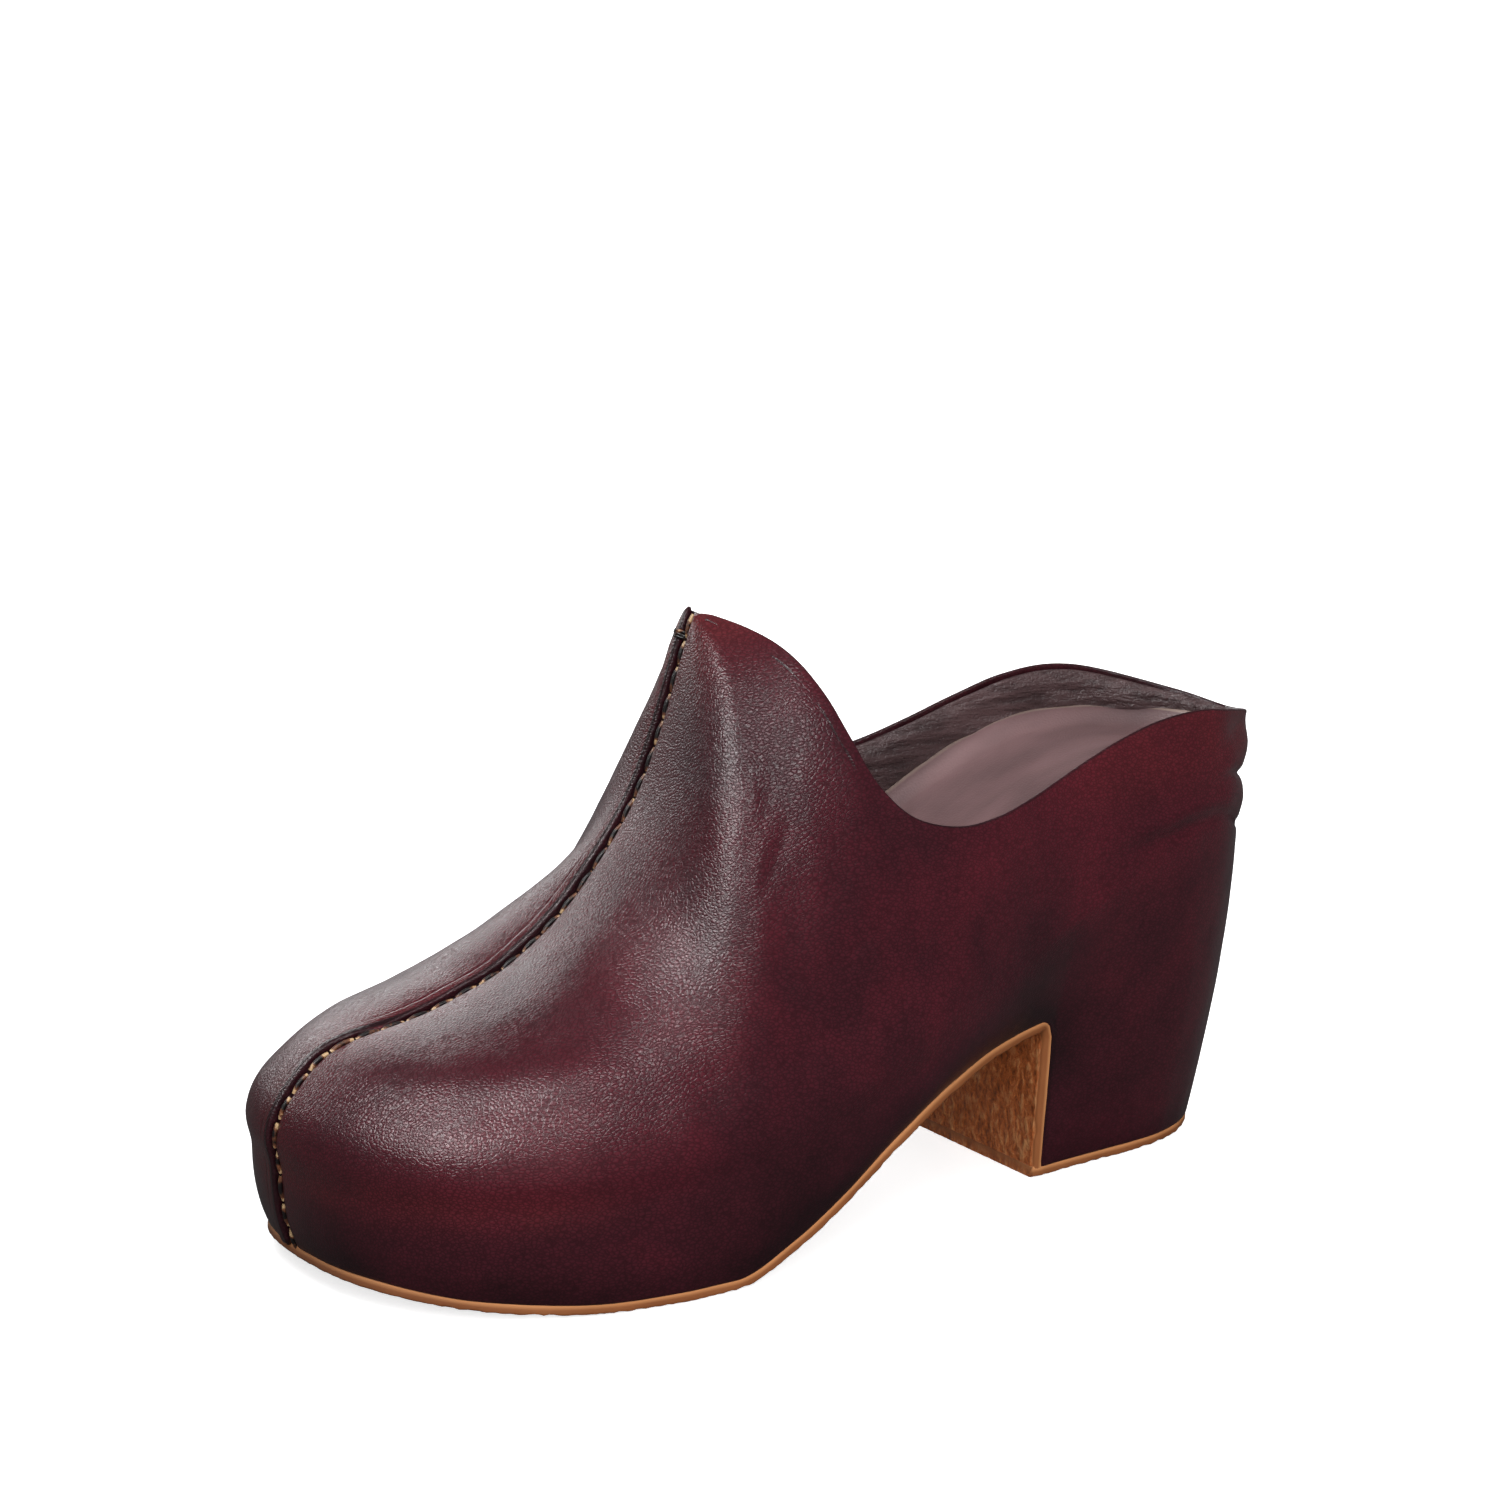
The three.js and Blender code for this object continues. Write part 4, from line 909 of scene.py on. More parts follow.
def lining_sheet(name, grids, material, node):
    """A lining from grids joined side by side, facing the foot."""
    grid = np.concatenate(grids, 1)
    quads = grid_faces(grid_index(grid))
    normals = vertex_normals(grid.reshape(-1, 3), quads)
    top_fade = np.linspace(1, 0, grid.shape[0])[:, None] ** 0.5
    shift = wrinkled(grid, 0.9) * (0.3 + 0.7 * top_fade)
    points = grid.reshape(-1, 3) + normals * shift.reshape(-1, 1)
    # the top edge is rounded off towards the leather
    edge = np.zeros(grid.shape[:2])
    edge[-1] = 0.45
    edge[-2] = 0.12
    inward = normals * edge.reshape(-1, 1)
    facing_in = np.sign(np.sum(normals * (FOOT_MIDDLE - points) * [1, 1, 0], axis=1).mean())
    points = points - inward * facing_in
    if facing_in < 0:
        quads = quads[:, ::-1]
    obj = make_object(name, points, quads, material, weld=0.02)
    thicken(obj, LINING_SKIN * MM)
    placed(obj, "lining", node)


def stiffener(name, node, end, thickness, material):
    """The board between leather and lining round the toe or the heel, from station 0 or the last to end."""
    start, levels = (0, TOE_LEVELS) if end < THROAT else (LAST, HEEL_LEVELS)
    grids = []
    for side in (LATERAL_SIDE, MEDIAL_SIDE):
        u = columns_between(side, min(start, end), max(start, end), 1.5)
        grids.append(inner_surface(side, u, np.linspace(*levels, 44), BOARD_DEPTH))
    grids = [grids[0][:, ::-1], grids[1][:, 1:]] if start == 0 else [grids[0], grids[1][:, -2::-1]]
    grid = np.concatenate(grids, 1)
    quads = grid_faces(grid_index(grid), start == 0)
    obj = make_object(name, grid.reshape(-1, 3), quads, material, weld=0.02)
    thicken(obj, thickness * MM)
    recalculate(obj)
    placed(obj, "board", node)


def seam_tape(material):
    """Cotton tape over the inside of the middle seam, up to the throat."""
    u = np.linspace(1.5, THROAT - 0.15, 150)
    levels = np.linspace(0.9, 1, 10)
    lateral, medial = (inner_surface(side, u, levels, TAPE_DEPTH) for side in (LATERAL_SIDE, MEDIAL_SIDE))
    grid = np.concatenate([lateral[:-1], (lateral[-1:] + medial[-1:]) / 2, medial[-2::-1]])
    obj = make_object("front_seam_tape_cotton", grid.reshape(-1, 3), grid_faces(grid_index(grid)), material)
    thicken(obj, TAPE_SKIN * MM)
    placed(obj, "tape", "front_seam_tape")


def footbed_edge(side, u, drop, depth):
    """Where the lining's face reaches the footbed's height, less drop."""
    levels = np.linspace(0.01, 0.99, 220)
    full = inner_surface(side, u, levels, depth)
    target = footbed_z(station_row(side, u)[:, 1]) - drop
    points = []
    for j in range(len(u)):
        z = full[:, j, 2]
        crossing = int(np.argmax(z > target[j])) if (z > target[j]).any() else len(levels) - 1
        i = max(crossing, 1)
        t = np.clip((target[j] - z[i - 1]) / max(z[i] - z[i - 1], 1e-6), 0, 1)
        point = full[i - 1, j] * (1 - t) + full[i, j] * t
        point[2] = target[j]
        points.append(point)
    return np.array(points)


def footbed_grid(drop, depth, across, stations, curl=0.0):
    """The footbed's face: lines across from the lateral to the medial lining, dished in the middle."""
    u = np.linspace(*FOOTBED_ENDS, stations)
    left = footbed_edge(LATERAL_SIDE, u, drop, depth)
    right = footbed_edge(MEDIAL_SIDE, u, drop, depth)
    for edge in (left, right):
        edge[:] = np.concatenate([edge[:1], (edge[:-2] + edge[1:-1] * 2 + edge[2:]) / 4, edge[-1:]])
    t = np.linspace(0, 1, across)[None, :, None]
    grid = left[:, None] * (1 - t) + right[:, None] * t
    grid[..., 2] -= footbed_dish(grid[..., 1]) * np.sin(np.pi * t[..., 0])
    edge = np.minimum(t[..., 0], 1 - t[..., 0]) * np.linalg.norm(left - right, axis=1)[:, None]
    grid[..., 2] += curl * smooth(7, 0, edge) * smooth(20, 60, grid[..., 1])
    return grid, edge


def sock_liner(material, thickness):
    """The sock, with its edge curled up against the lining and its cut rim turned down."""
    grid, off_edge = footbed_grid(0.0, SOCK_DEPTH, 110, 230, curl=2.4)
    index = grid_index(grid)
    points = grid.reshape(-1, 3)
    quads = grid_faces(index)
    if vertex_normals(points, quads)[:, 2].mean() < 0:
        quads = quads[:, ::-1]
        ring = np.concatenate([index[:-1, 0], index[-1, :-1], index[:0:-1, -1], index[0, :0:-1]])
    else:
        ring = np.concatenate([index[0, :-1], index[:-1, -1], index[-1, :0:-1], index[:0:-1, 0]])
    normals = vertex_normals(points, quads)
    points = points + normals * (unevenness(points, 14, 0.35) + unevenness(points, 5, 0.12))[:, None]
    count = len(ring)
    rows = finish_loop(points, normals, ring, np.full(count, 0.45), np.full(count, QUARTER),
                       np.full(count, 0.5), 4)
    faces = ring_faces(ring, rows, len(points))
    cut = np.concatenate([smooth(0.9, 0.4, off_edge).ravel()] + [np.ones(count)] * len(rows))
    obj = make_object("sock_liner_leather", np.concatenate([points] + rows), np.concatenate([quads, faces]),
                      material, {"cut_edge": cut})
    thicken(obj, thickness)
    placed(obj, "sock", "sock_liner")


def footbed_pad(material):
    """Closed pad under the sock, full in the middle and rounded down at its edges."""
    top, _ = footbed_grid(1.6, SOCK_DEPTH + 1.5, *PAD_LINES)
    across, along = (np.linspace(-1, 1, lines) for lines in PAD_LINES)
    plump = ((1 - np.abs(across) ** 6)[None, :] * (1 - np.abs(along) ** 14)[:, None]) ** 0.5
    bottom = top - [0, 0, PAD_THICKNESS]
    middle = (top + bottom) / 2
    upper = middle + (top - middle) * plump[..., None]
    lower = middle + (bottom - middle) * plump[..., None]
    quads = grid_faces(grid_index(top))
    if vertex_normals(upper.reshape(-1, 3), quads)[:, 2].mean() < 0:
        quads = quads[:, ::-1]
    points = np.concatenate([upper.reshape(-1, 3), lower.reshape(-1, 3)])
    quads = np.concatenate([quads, quads[:, ::-1] + len(points) // 2])
    obj = make_object("footbed_pad", points, quads, material, weld=0.05)
    placed(obj, "foam", "footbed_foam")


# ---- crepe ----

# The cut rim's section: how far out it stands, and how far up the sheet, as a share of its thickness.
RIM = ((0.0, 1.0), (0.12, 0.8), (0.14, 0.5), (0.1, 0.2), (-0.05, 0.06), (-0.45, 0.0))
SHAG, RAG = 0.38, 0.55  # how deep the open face is torn, and the rim's lower edge
OUTSOLE_COLUMNS, HEEL_FRONT_ROWS, LIFT_COLUMNS = 210, 39, 130


def crepe_sheet(name, node, material, edges, outs, air, thickness, face_rows):
    """A sheet of crepe between two edge lines, its open face towards air and its rim cut by knife.

    edges and outs have a line of points and of outward directions for each side. face_rows says how
    shaggy the open face is along them.
    """
    rims = {side: [edges[side] + outs[side] * reach + air * thickness * (1 - height)
                   for reach, height in RIM] for side in edges}
    left, right = rims[LATERAL_SIDE], rims[MEDIAL_SIDE]
    face = [(1 - t) * left[-1] + t * right[-1] for t in np.linspace(0, 1, 90)[1:-1]]
    back = [edges[LATERAL_SIDE] * (1 - t) + edges[MEDIAL_SIDE] * t for t in np.linspace(1, 0, 8)[1:-1]]
    loops = left + face + right[::-1] + back
    grid = np.stack(loops, 1)

    # one value for each line along the sheet, round its section
    open_face, edge_light, wear = np.zeros((3, len(loops)))
    open_face[len(RIM):len(RIM) + len(face)] = 1
    near, far = slice(0, len(RIM)), slice(len(RIM) + len(face), len(RIM) * 2 + len(face))
    heights = np.array([height for _, height in RIM])
    # A painted highlight along the rim's upper edge, and the rim's lower edge worn ragged.
    for values, rim_values in ((edge_light, 0.75 * bell(heights - 0.85, 0.2)), (wear, bell(heights, 0.25))):
        values[near], values[far] = rim_values, rim_values[::-1]

    # the open face is shaggy and the lower rim ragged
    flat = grid.reshape(-1, 3)
    shag = np.array([noise.noise(Vector(p / 1.9)) + 0.6 * noise.noise(Vector(p / 0.9)) for p in flat])
    ragged = np.array([noise.noise(Vector(p / 3.1)) for p in flat])
    shift = face_rows[:, None] * open_face * SHAG * shag.reshape(grid.shape[:2])
    shift = shift - np.abs(ragged.reshape(grid.shape[:2])) * wear * RAG
    grid = grid + air[:, None] * np.minimum(shift, 0.0)[..., None]
    index = grid_index(grid)
    quads = grid_faces(np.hstack([index, index[:, :1]]))
    marks = {"open_face": np.tile(open_face, len(grid)), "edge_light": np.tile(edge_light, len(grid))}
    obj = make_object(name, grid.reshape(-1, 3), quads, material, marks)
    close_ends(obj, [index[0], index[-1][::-1]])
    placed(obj, "crepe", node)


def close_ends(obj, ends):
    """Caps a tube's open ends and turns every face outwards."""
    work = bmesh.new()
    work.from_mesh(obj.data)
    work.verts.ensure_lookup_table()
    for ids in ends:
        work.faces.new([work.verts[int(i)] for i in ids])
    bmesh.ops.remove_doubles(work, verts=work.verts, dist=0.004 * MM)
    bmesh.ops.triangulate(work, faces=[f for f in work.faces if len(f.verts) > 4])
    bmesh.ops.recalc_face_normals(work, faces=work.faces)
    work.to_mesh(obj.data)
    work.free()


def outline_out(points, side):
    """Level direction away from the clog along an edge line that runs from toe to heel."""
    along = np.gradient(points, axis=0)
    out = np.stack([along[:, 1] * side, -along[:, 0] * side, np.zeros(len(points))], -1)
    return unit(out)


def resampled(u, count):
    """The same stations, spread over another number of columns."""
    return np.interp(np.linspace(0, 1, count), np.linspace(0, 1, len(u)), u)


def outsole(material):
    """One sheet along the sole from the toe, round the bend and down the heel's front."""
    edges, outs = {}, {}
    for side in (LATERAL_SIDE, MEDIAL_SIDE):
        split = station_at(side, BREAST_Y - 0.02)
        u = resampled(columns_between(side, 0.02, split, 1.4), OUTSOLE_COLUMNS)
        front = wall_point(side, u, shank_z(station_row(side, u)[:, 1]))
        drop = np.linspace(APEX_Z, SHEET * 0.15, HEEL_FRONT_ROWS + 1)[1:]
        down = wall_point(side, np.full(len(drop), split), drop)
        sideways = np.tile([float(side), 0.0, 0.0], (HEEL_FRONT_ROWS, 1))
        outs[side] = np.concatenate([outline_out(front, side), sideways])
        edges[side] = np.concatenate([front, down]) - outs[side] * 0.35
    middle = (edges[LATERAL_SIDE] + edges[MEDIAL_SIDE]) / 2
    slope = np.gradient(middle[:, 1:], axis=0)
    air = unit(np.stack([np.zeros(len(middle)), slope[:, 1], -slope[:, 0]], -1))
    face_rows = smooth(-70, 54, middle[:, 1]) * 0.6 + 0.4
    face_rows = np.where(np.arange(len(middle)) > OUTSOLE_COLUMNS - 5, 1.0, face_rows * 0.6)
    crepe_sheet("outsole_crepe", "outsole", material, edges, outs, air, SHEET - 0.05, face_rows)


def heel_top_lift(material):
    """Flat lift under the heel, from the front sheet to the back."""
    edges, outs = {}, {}
    for side in (LATERAL_SIDE, MEDIAL_SIDE):
        u = resampled(columns_between(side, station_at(side, BREAST_Y + 0.02), LAST, 1.0), LIFT_COLUMNS)
        line = wall_point(side, u, np.full(len(u), SHEET))
        out = outline_out(line, side)
        out[-1] = [0, 1, 0]
        start = line[:1] - [0, SHEET, 0]
        line = np.concatenate([start, line])
        outs[side] = np.concatenate([out[:1], out])
        edges[side] = line - outs[side] * 0.4
        edges[side][:, 2] = SHEET - 0.15
    count = LIFT_COLUMNS + 1
    air = np.tile([0.0, 0.0, -1.0], (count, 1))
    crepe_sheet("heel_top_lift_crepe", "heel_top_lift", material, edges, outs, air, SHEET - 0.15,
                np.full(count, 0.5))


# ---- thread ----

THREAD_RADIUS = 0.55
STITCH_BOW = 0.55  # how far a stitch rises between its two holes
STITCH_SHARE = 0.93  # of the pitch that a stitch takes up
TACK_STATION = 5.86  # middle of the bar tack, just below the throat
TACK_TURNS, TACK_PITCH, TACK_RADIUS = 3, 0.62, 0.36


def lateral_seam_line(off, stand):
    """Points and normals along the lateral side of the seam, from the toe's lower edge to the throat."""
    low = shank_z(station_row(LATERAL_SIDE, np.zeros(1))[:, 1])[0] + 1
    foot = float(wood_top(-120.5))
    u = columns_between(LATERAL_SIDE, 0, 1.2, 0.35)
    wall = wall_point(LATERAL_SIDE, *spread(u, np.linspace(low, foot, 40)[:-1]))
    columns = np.concatenate([u[:-1], np.linspace(u[-1], THROAT - 0.02, 240)])
    vamp = upper_point(LATERAL_SIDE, *spread(columns, upper_levels(160)))
    toe = upper_point(LATERAL_SIDE, *spread(u, np.linspace(0, 0.97, 60)))
    points = []
    for row in np.concatenate([wall, toe]):
        away = row[:, 0] - seam_x(row[:, 1])
        if away.max() > off:
            points.append([np.interp(off, away, row[:, k]) for k in range(3)])
    first = np.array(points)
    crossing = []
    for y in np.arange(first[-1, 1] + 0.6, -22.5, 0.6):
        best = section_point(vamp, y, off)
        if best is not None:
            crossing.append(best)
    line = np.concatenate([first, np.array(crossing)])
    tangent = unit(np.gradient(line, axis=0))
    outward = unit(np.cross(tangent, np.array([1.0, 0.0, 0.0])))
    outward = np.where(outward[:, 2:] < outward[:, 1:2], -outward, outward)
    return line + outward * (stand + shaping(LATERAL_SIDE, line))[:, None], outward


def section_point(grid, y, off):
    """Where a face crosses y at a distance off the middle seam."""
    points = grid.reshape(-1, 3)
    away = points[:, 0] - seam_x(points[:, 1]) - off
    gap = np.hypot(away, points[:, 1] - y)
    near = np.argsort(gap)[:8]
    weight = 1 / (gap[near] + 0.05) ** 2
    found = (points[near] * weight[:, None]).sum(0) / weight.sum()
    return [float(seam_x(y)) + off, y, found[2]] if gap[near[0]] < 2 else None


def stitch_tree(material):
    """Lays a row of short stitches along a line, each bowed up from its two holes."""
    tree = bpy.data.node_groups.new("stitch_row", "GeometryNodeTree")
    face = tree.interface
    face.new_socket("Geometry", in_out="INPUT", socket_type="NodeSocketGeometry")
    names = {}
    for name, default in (("Pitch", 0.0058), ("Stitch length", 0.005), ("Thread radius", 0.0005),
                          ("Bow", 0.0006), ("Unevenness", 0.1)):
        socket = face.new_socket(name, in_out="INPUT", socket_type="NodeSocketFloat")
        socket.default_value = default
        names[name] = socket.identifier
    face.new_socket("Geometry", in_out="OUTPUT", socket_type="NodeSocketGeometry")
    nodes = tree.nodes.new("NodeGroupInput")
    given = {socket.name: socket for socket in nodes.outputs}
    half = add_node(tree, MATHS, {0: given["Stitch length"], 1: 0.5}, operation="MULTIPLY")
    less = add_node(tree, MATHS, {0: half, 1: -1.0}, operation="MULTIPLY")
    start = add_node(tree, "ShaderNodeCombineXYZ", {"X": less})
    end = add_node(tree, "ShaderNodeCombineXYZ", {"X": half})
    double = add_node(tree, MATHS, {0: given["Bow"], 1: 2.0}, operation="MULTIPLY")
    peak = add_node(tree, "ShaderNodeCombineXYZ", {"Z": double})
    arc = add_node(tree, "GeometryNodeCurveQuadraticBezier",
                   {"Resolution": 10, "Start": start, "Middle": peak, "End": end})
    along = add_node(tree, "GeometryNodeSplineParameter", output="Factor")
    from_middle = add_node(tree, MATHS, {0: along, 1: 0.5}, operation="SUBTRACT")
    bare = add_node(tree, MATHS, {0: from_middle}, operation="ABSOLUTE")
    arc = add_node(tree, "GeometryNodeStoreNamedAttribute", {"Geometry": arc, "Name": "bare", "Value": bare},
                   data_type="FLOAT", domain="POINT")
    section = add_node(tree, "GeometryNodeCurvePrimitiveCircle",
                       {"Resolution": 8, "Radius": given["Thread radius"]})
    stitch = add_node(tree, "GeometryNodeCurveToMesh",
                      {"Curve": arc, "Profile Curve": section, "Fill Caps": True})
    line = add_node(tree, "GeometryNodeMeshToCurve", {0: given["Geometry"]})
    places = add_node(tree, "GeometryNodeResampleCurve", {"Curve": line, "Length": given["Pitch"]},
                      mode="LENGTH")
    tangent = add_node(tree, "GeometryNodeInputTangent")
    out = add_node(tree, "GeometryNodeInputNamedAttribute", {"Name": "out"}, data_type="FLOAT_VECTOR")
    turned = add_node(tree, "FunctionNodeAlignRotationToVector", {"Vector": tangent}, axis="X")
    turned = add_node(tree, "FunctionNodeAlignRotationToVector", {"Rotation": turned, "Vector": out},
                      axis="Z", pivot_axis="X")
    low = add_node(tree, MATHS, {0: 1.0, 1: given["Unevenness"]}, operation="SUBTRACT")
    size = add_node(tree, "FunctionNodeRandomValue", {2: low, 3: 1.0, "Seed": 4}, 1, data_type="FLOAT")
    stitches = add_node(tree, "GeometryNodeInstanceOnPoints",
                        {"Points": places, "Instance": stitch, "Rotation": turned, "Scale": size})
    real = add_node(tree, "GeometryNodeRealizeInstances", {"Geometry": stitches})
    final = add_node(tree, "GeometryNodeSetMaterial", {"Geometry": real, "Material": material})
    add_node(tree, "NodeGroupOutput", {"Geometry": final})
    return tree, names


def seam_stitches(sizes, material):
    """The middle seam's stitches, lying in the channel beside the rib."""
    line, outward = lateral_seam_line(STITCH_OFF, THREAD_RADIUS * 0.25 - CHANNEL * 0.8)
    mesh = bpy.data.meshes.new("seam_stitches")
    edges = [(i, i + 1) for i in range(len(line) - 1)]
    mesh.from_pydata(((line - CENTRE) * MM).tolist(), edges, [])
    mesh.attributes.new("out", "FLOAT_VECTOR", "POINT").data.foreach_set("vector", outward.ravel())
    obj = bpy.data.objects.new("seam_stitches", mesh)
    bpy.context.scene.collection.objects.link(obj)
    tree, names = stitch_tree(material)
    rows = obj.modifiers.new("Stitches", "NODES")
    rows.node_group = tree
    rows[names["Pitch"]] = sizes.stitch_pitch
    rows[names["Stitch length"]] = sizes.stitch_pitch * STITCH_SHARE
    rows[names["Thread radius"]] = THREAD_RADIUS * MM
    rows[names["Bow"]] = STITCH_BOW * MM
    rows[names["Unevenness"]] = 0.12
    apply_modifiers(obj)
    obj.data.polygons.foreach_set("use_smooth", [True] * len(obj.data.polygons))
    placed(obj, "thread", "front_seam_thread")


def thread_tube(points, radius, sides=10):
    """Points and quads of a closed round tube along a line."""
    points = np.asarray(points, float)
    tangent = unit(np.gradient(points, axis=0))
    side = unit(np.cross(tangent, [0.0, 1.0, 0.3]))
    up = np.cross(side, tangent)
    angle = np.linspace(0, 2 * np.pi, sides, endpoint=False)
    taper = np.clip(np.sin(np.linspace(0, np.pi, len(points))) * 5, 0.05, 1)[:, None, None]
    circle = np.cos(angle)[None, :, None] * side[:, None] + np.sin(angle)[None, :, None] * up[:, None]
    grid = points[:, None] + circle * radius * taper
    index = np.arange(len(points) * sides).reshape(len(points), sides)
    return grid.reshape(-1, 3), grid_faces(np.hstack([index, index[:, :1]]))


def bar_tack(material):
    """Several turns of thread laid side by side over the rib, just below the throat."""
    middle = upper_point(LATERAL_SIDE, np.array([TACK_STATION]), np.array([1.0]))[0]
    below, above = station_row(LATERAL_SIDE, np.array([5.5, 5.9]))[:, 2:]
    down = unit(below - above)
    forward = unit(np.cross(down, [1.0, 0.0, 0.0]))
    forward = -forward if forward[1] > 0 else forward
    points, quads, first = [], [], 0
    t = np.linspace(-1, 1, 25)
    for turn in range(TACK_TURNS):
        reach = 2.0 + 0.2 * math.sin(turn * 2.1)
        lean = 0.35 * (turn % 2)
        x = np.outer(t * reach + 0.6, [1.0, 0.0, 0.0])
        rise = np.outer(RIB * smooth(0.9, -0.3, t) * 1.3 + 0.35 - 1.5 * np.abs(t) ** 6, forward)
        along = np.outer(turn * TACK_PITCH + lean * t, down)
        tube, faces = thread_tube(middle + x + rise + along, TACK_RADIUS)
        points.append(tube)
        quads.append(faces + first)
        first += len(tube)
    points = np.concatenate(points)
    obj = make_object("throat_bar_tack_thread", points, np.concatenate(quads), material,
                      {"bare": np.zeros(len(points))}, weld=0.05)
    recalculate(obj)
    placed(obj, "thread", "throat_bar_tack")


def recalculate(obj):
    """Closes any hole and turns every face outwards."""
    work = bmesh.new()
    work.from_mesh(obj.data)
    bmesh.ops.holes_fill(work, edges=[e for e in work.edges if e.is_boundary])
    bmesh.ops.recalc_face_normals(work, faces=work.faces)
    work.to_mesh(obj.data)
    work.free()


# ---- the add-on ----

def colour_property(name, description, hex_value):
    """A colour that a user may change, from its sRGB hex value."""
    return FloatVectorProperty(name=name, description=description, subtype="COLOR", size=4, min=0, max=1,
                               default=colour(hex_value))


def size_property(name, description, default, least, most):
    """A length that a user may change, in metres."""
    return FloatProperty(name=name, description=description, default=default, min=least, max=most,
                         precision=5, unit="LENGTH", subtype="DISTANCE")


class ClogSizes(bpy.types.PropertyGroup):
    leather: size_property("Leather", "Thickness of the upper's leather", 0.00085, 0.0004, 0.0011)
    sock: size_property("Sock", "Thickness of the sock's leather", 0.000375, 0.0002, 0.0008)
    stitch_pitch: size_property("Stitch pitch", "Distance between the seam's stitches", 0.0058, 0.002, 0.02)


class ClogColours(bpy.types.PropertyGroup):
    # Red and black are the ends of the leather's painted shade, with oxblood between.
    red: colour_property("Red", "Leather where the burnish is thin", 0x611F2B)
    oxblood: colour_property("Oxblood", "Leather's main colour", 0x451822)
    black: colour_property("Black", "Leather where the burnish is heavy", 0x270E14)
    # The colour of the painted red glow.
    rubbed: colour_property("Rubbed red", "Leather rubbed back to its dye", 0x7A2A2E)
    lining: colour_property("Lining", "Lining leather", 0x5F4A4B)
    lining_dark: colour_property("Lining, dark", "Lining leather where it is handled", 0x4E3C3D)
    sock: colour_property("Sock", "Sock leather", 0x8A6B6C)
    raw_edge: colour_property("Raw edge", "Cut edge of the sock", 0xA08A80)
    crepe_cut: colour_property("Crepe, cut", "Cut edge of the crepe", 0xA8693F)
    crepe_dark: colour_property("Crepe, dark", "Crepe's deep patches", 0x7A4220)
    crepe_open: colour_property("Crepe, open", "Crepe's open face", 0xC46A36)
    crepe_light: colour_property("Crepe, light", "Crepe's fibre tips", 0xE6A068)
    thread: colour_property("Thread", "Undyed thread", 0xC9A77C)
    thread_tan: colour_property("Thread, tan", "Thread stained by the dye", 0x7A4A30)
    thread_black: colour_property("Thread, black", "Thread under the wax", 0x120D0D)


def stock(maker, *values):
    """A material made once and then shared."""
    found = bpy.data.materials.get(maker.__name__)
    return found or maker(*values)


class CLOG_OT_upper(bpy.types.Operator):
    """Makes the two leather halves of the upper"""
    bl_idname = "clog.upper"
    bl_label = "Upper"

    def execute(self, context):
        material = stock(pebbled_leather, context.scene.clog_colours)
        for side, name in SIDE_NAMES.items():
            points, quads, finish = upper_half(side)
            obj = make_object(f"upper_{name}_leather", points, quads, material, finish)
            thicken(obj, context.scene.clog_sizes.leather)
            placed(obj, "upper", f"upper_{name}")
        return {"FINISHED"}


class CLOG_OT_linings(bpy.types.Operator):
    """Makes the vamp's two linings and the heel's one"""
    bl_idname = "clog.linings"
    bl_label = "Linings"

    def execute(self, context):
        material = stock(lining_leather, context.scene.clog_colours)
        for side, name in SIDE_NAMES.items():
            lining_sheet(f"vamp_lining_{name}_leather", [lining_grid(side, 0, SIDE_SEAM - 0.04)], material,
                         f"vamp_lining_{name}")
        lateral, medial = (lining_grid(side, SIDE_SEAM, LAST) for side in (LATERAL_SIDE, MEDIAL_SIDE))
        lining_sheet("heel_lining_leather", [lateral, medial[:, -2::-1]], material, "heel_lining")
        return {"FINISHED"}


class CLOG_OT_stiffeners(bpy.types.Operator):
    """Makes the toe puff, the heel counter and the seam's tape, which follow the leather's shaping"""
    bl_idname = "clog.stiffeners"
    bl_label = "Toe puff and heel counter"

    def execute(self, context):
        board = stock(fibre_board)
        stiffener("toe_puff_board", "toe_puff", 4, 0.6, board)
        stiffener("heel_counter_board", "heel_counter", 17, 0.8, board)
        seam_tape(speckled("cotton_tape", 0xE2DCCD, 0xBDB5A3, 0.6, 0.9, 0.1))
        return {"FINISHED"}


class CLOG_OT_footbed(bpy.types.Operator):
    """Makes the sock and the padded layer under it"""
    bl_idname = "clog.footbed"
    bl_label = "Footbed"

    def execute(self, context):
        sock_liner(stock(sock_leather, context.scene.clog_colours), context.scene.clog_sizes.sock)
        footbed_pad(speckled("latex_foam", 0xE8DDBE, 0xCFC096, 1.2, 0.9, 0.3))
        return {"FINISHED"}


class CLOG_OT_soles(bpy.types.Operator):
    """Makes the crepe outsole and the heel's top lift"""
    bl_idname = "clog.soles"
    bl_label = "Outsole and top lift"

    def execute(self, context):
        material = stock(crepe_rubber, context.scene.clog_colours)
        outsole(material)
        heel_top_lift(material)
        return {"FINISHED"}


class CLOG_OT_thread(bpy.types.Operator):
    """Sews the middle seam and its bar tack"""
    bl_idname = "clog.thread"
    bl_label = "Seam thread"

    def execute(self, context):
        material = stock(waxed_thread, context.scene.clog_colours)
        seam_stitches(context.scene.clog_sizes, material)
        bar_tack(material)
        return {"FINISHED"}


class CLOG_OT_inside(bpy.types.Operator):
    """Gives the frame's own wood, filler board and tacks their materials"""
    bl_idname = "clog.inside"
    bl_label = "Wood, filler and tacks"

    def execute(self, context):
        finishes = {
            "wood_sole": stock(alder_wood),
            "forepart_filler": stock(fibre_board),
            "lasting_tack": speckled("blued_steel", 0x93959A, 0x6F7178, 0.5, 0.38, 0.02, metallic=1.0),
        }
        for start, finish in finishes.items():
            nodes = [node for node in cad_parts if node.startswith(start)]
            if not nodes:
                raise RuntimeError(f"The frame has no node whose name starts with {start}")
            for node in nodes:
                for slot in bpy.data.objects[node].material_slots:
                    slot.material = finish
        return {"FINISHED"}


# ---- the stage ----

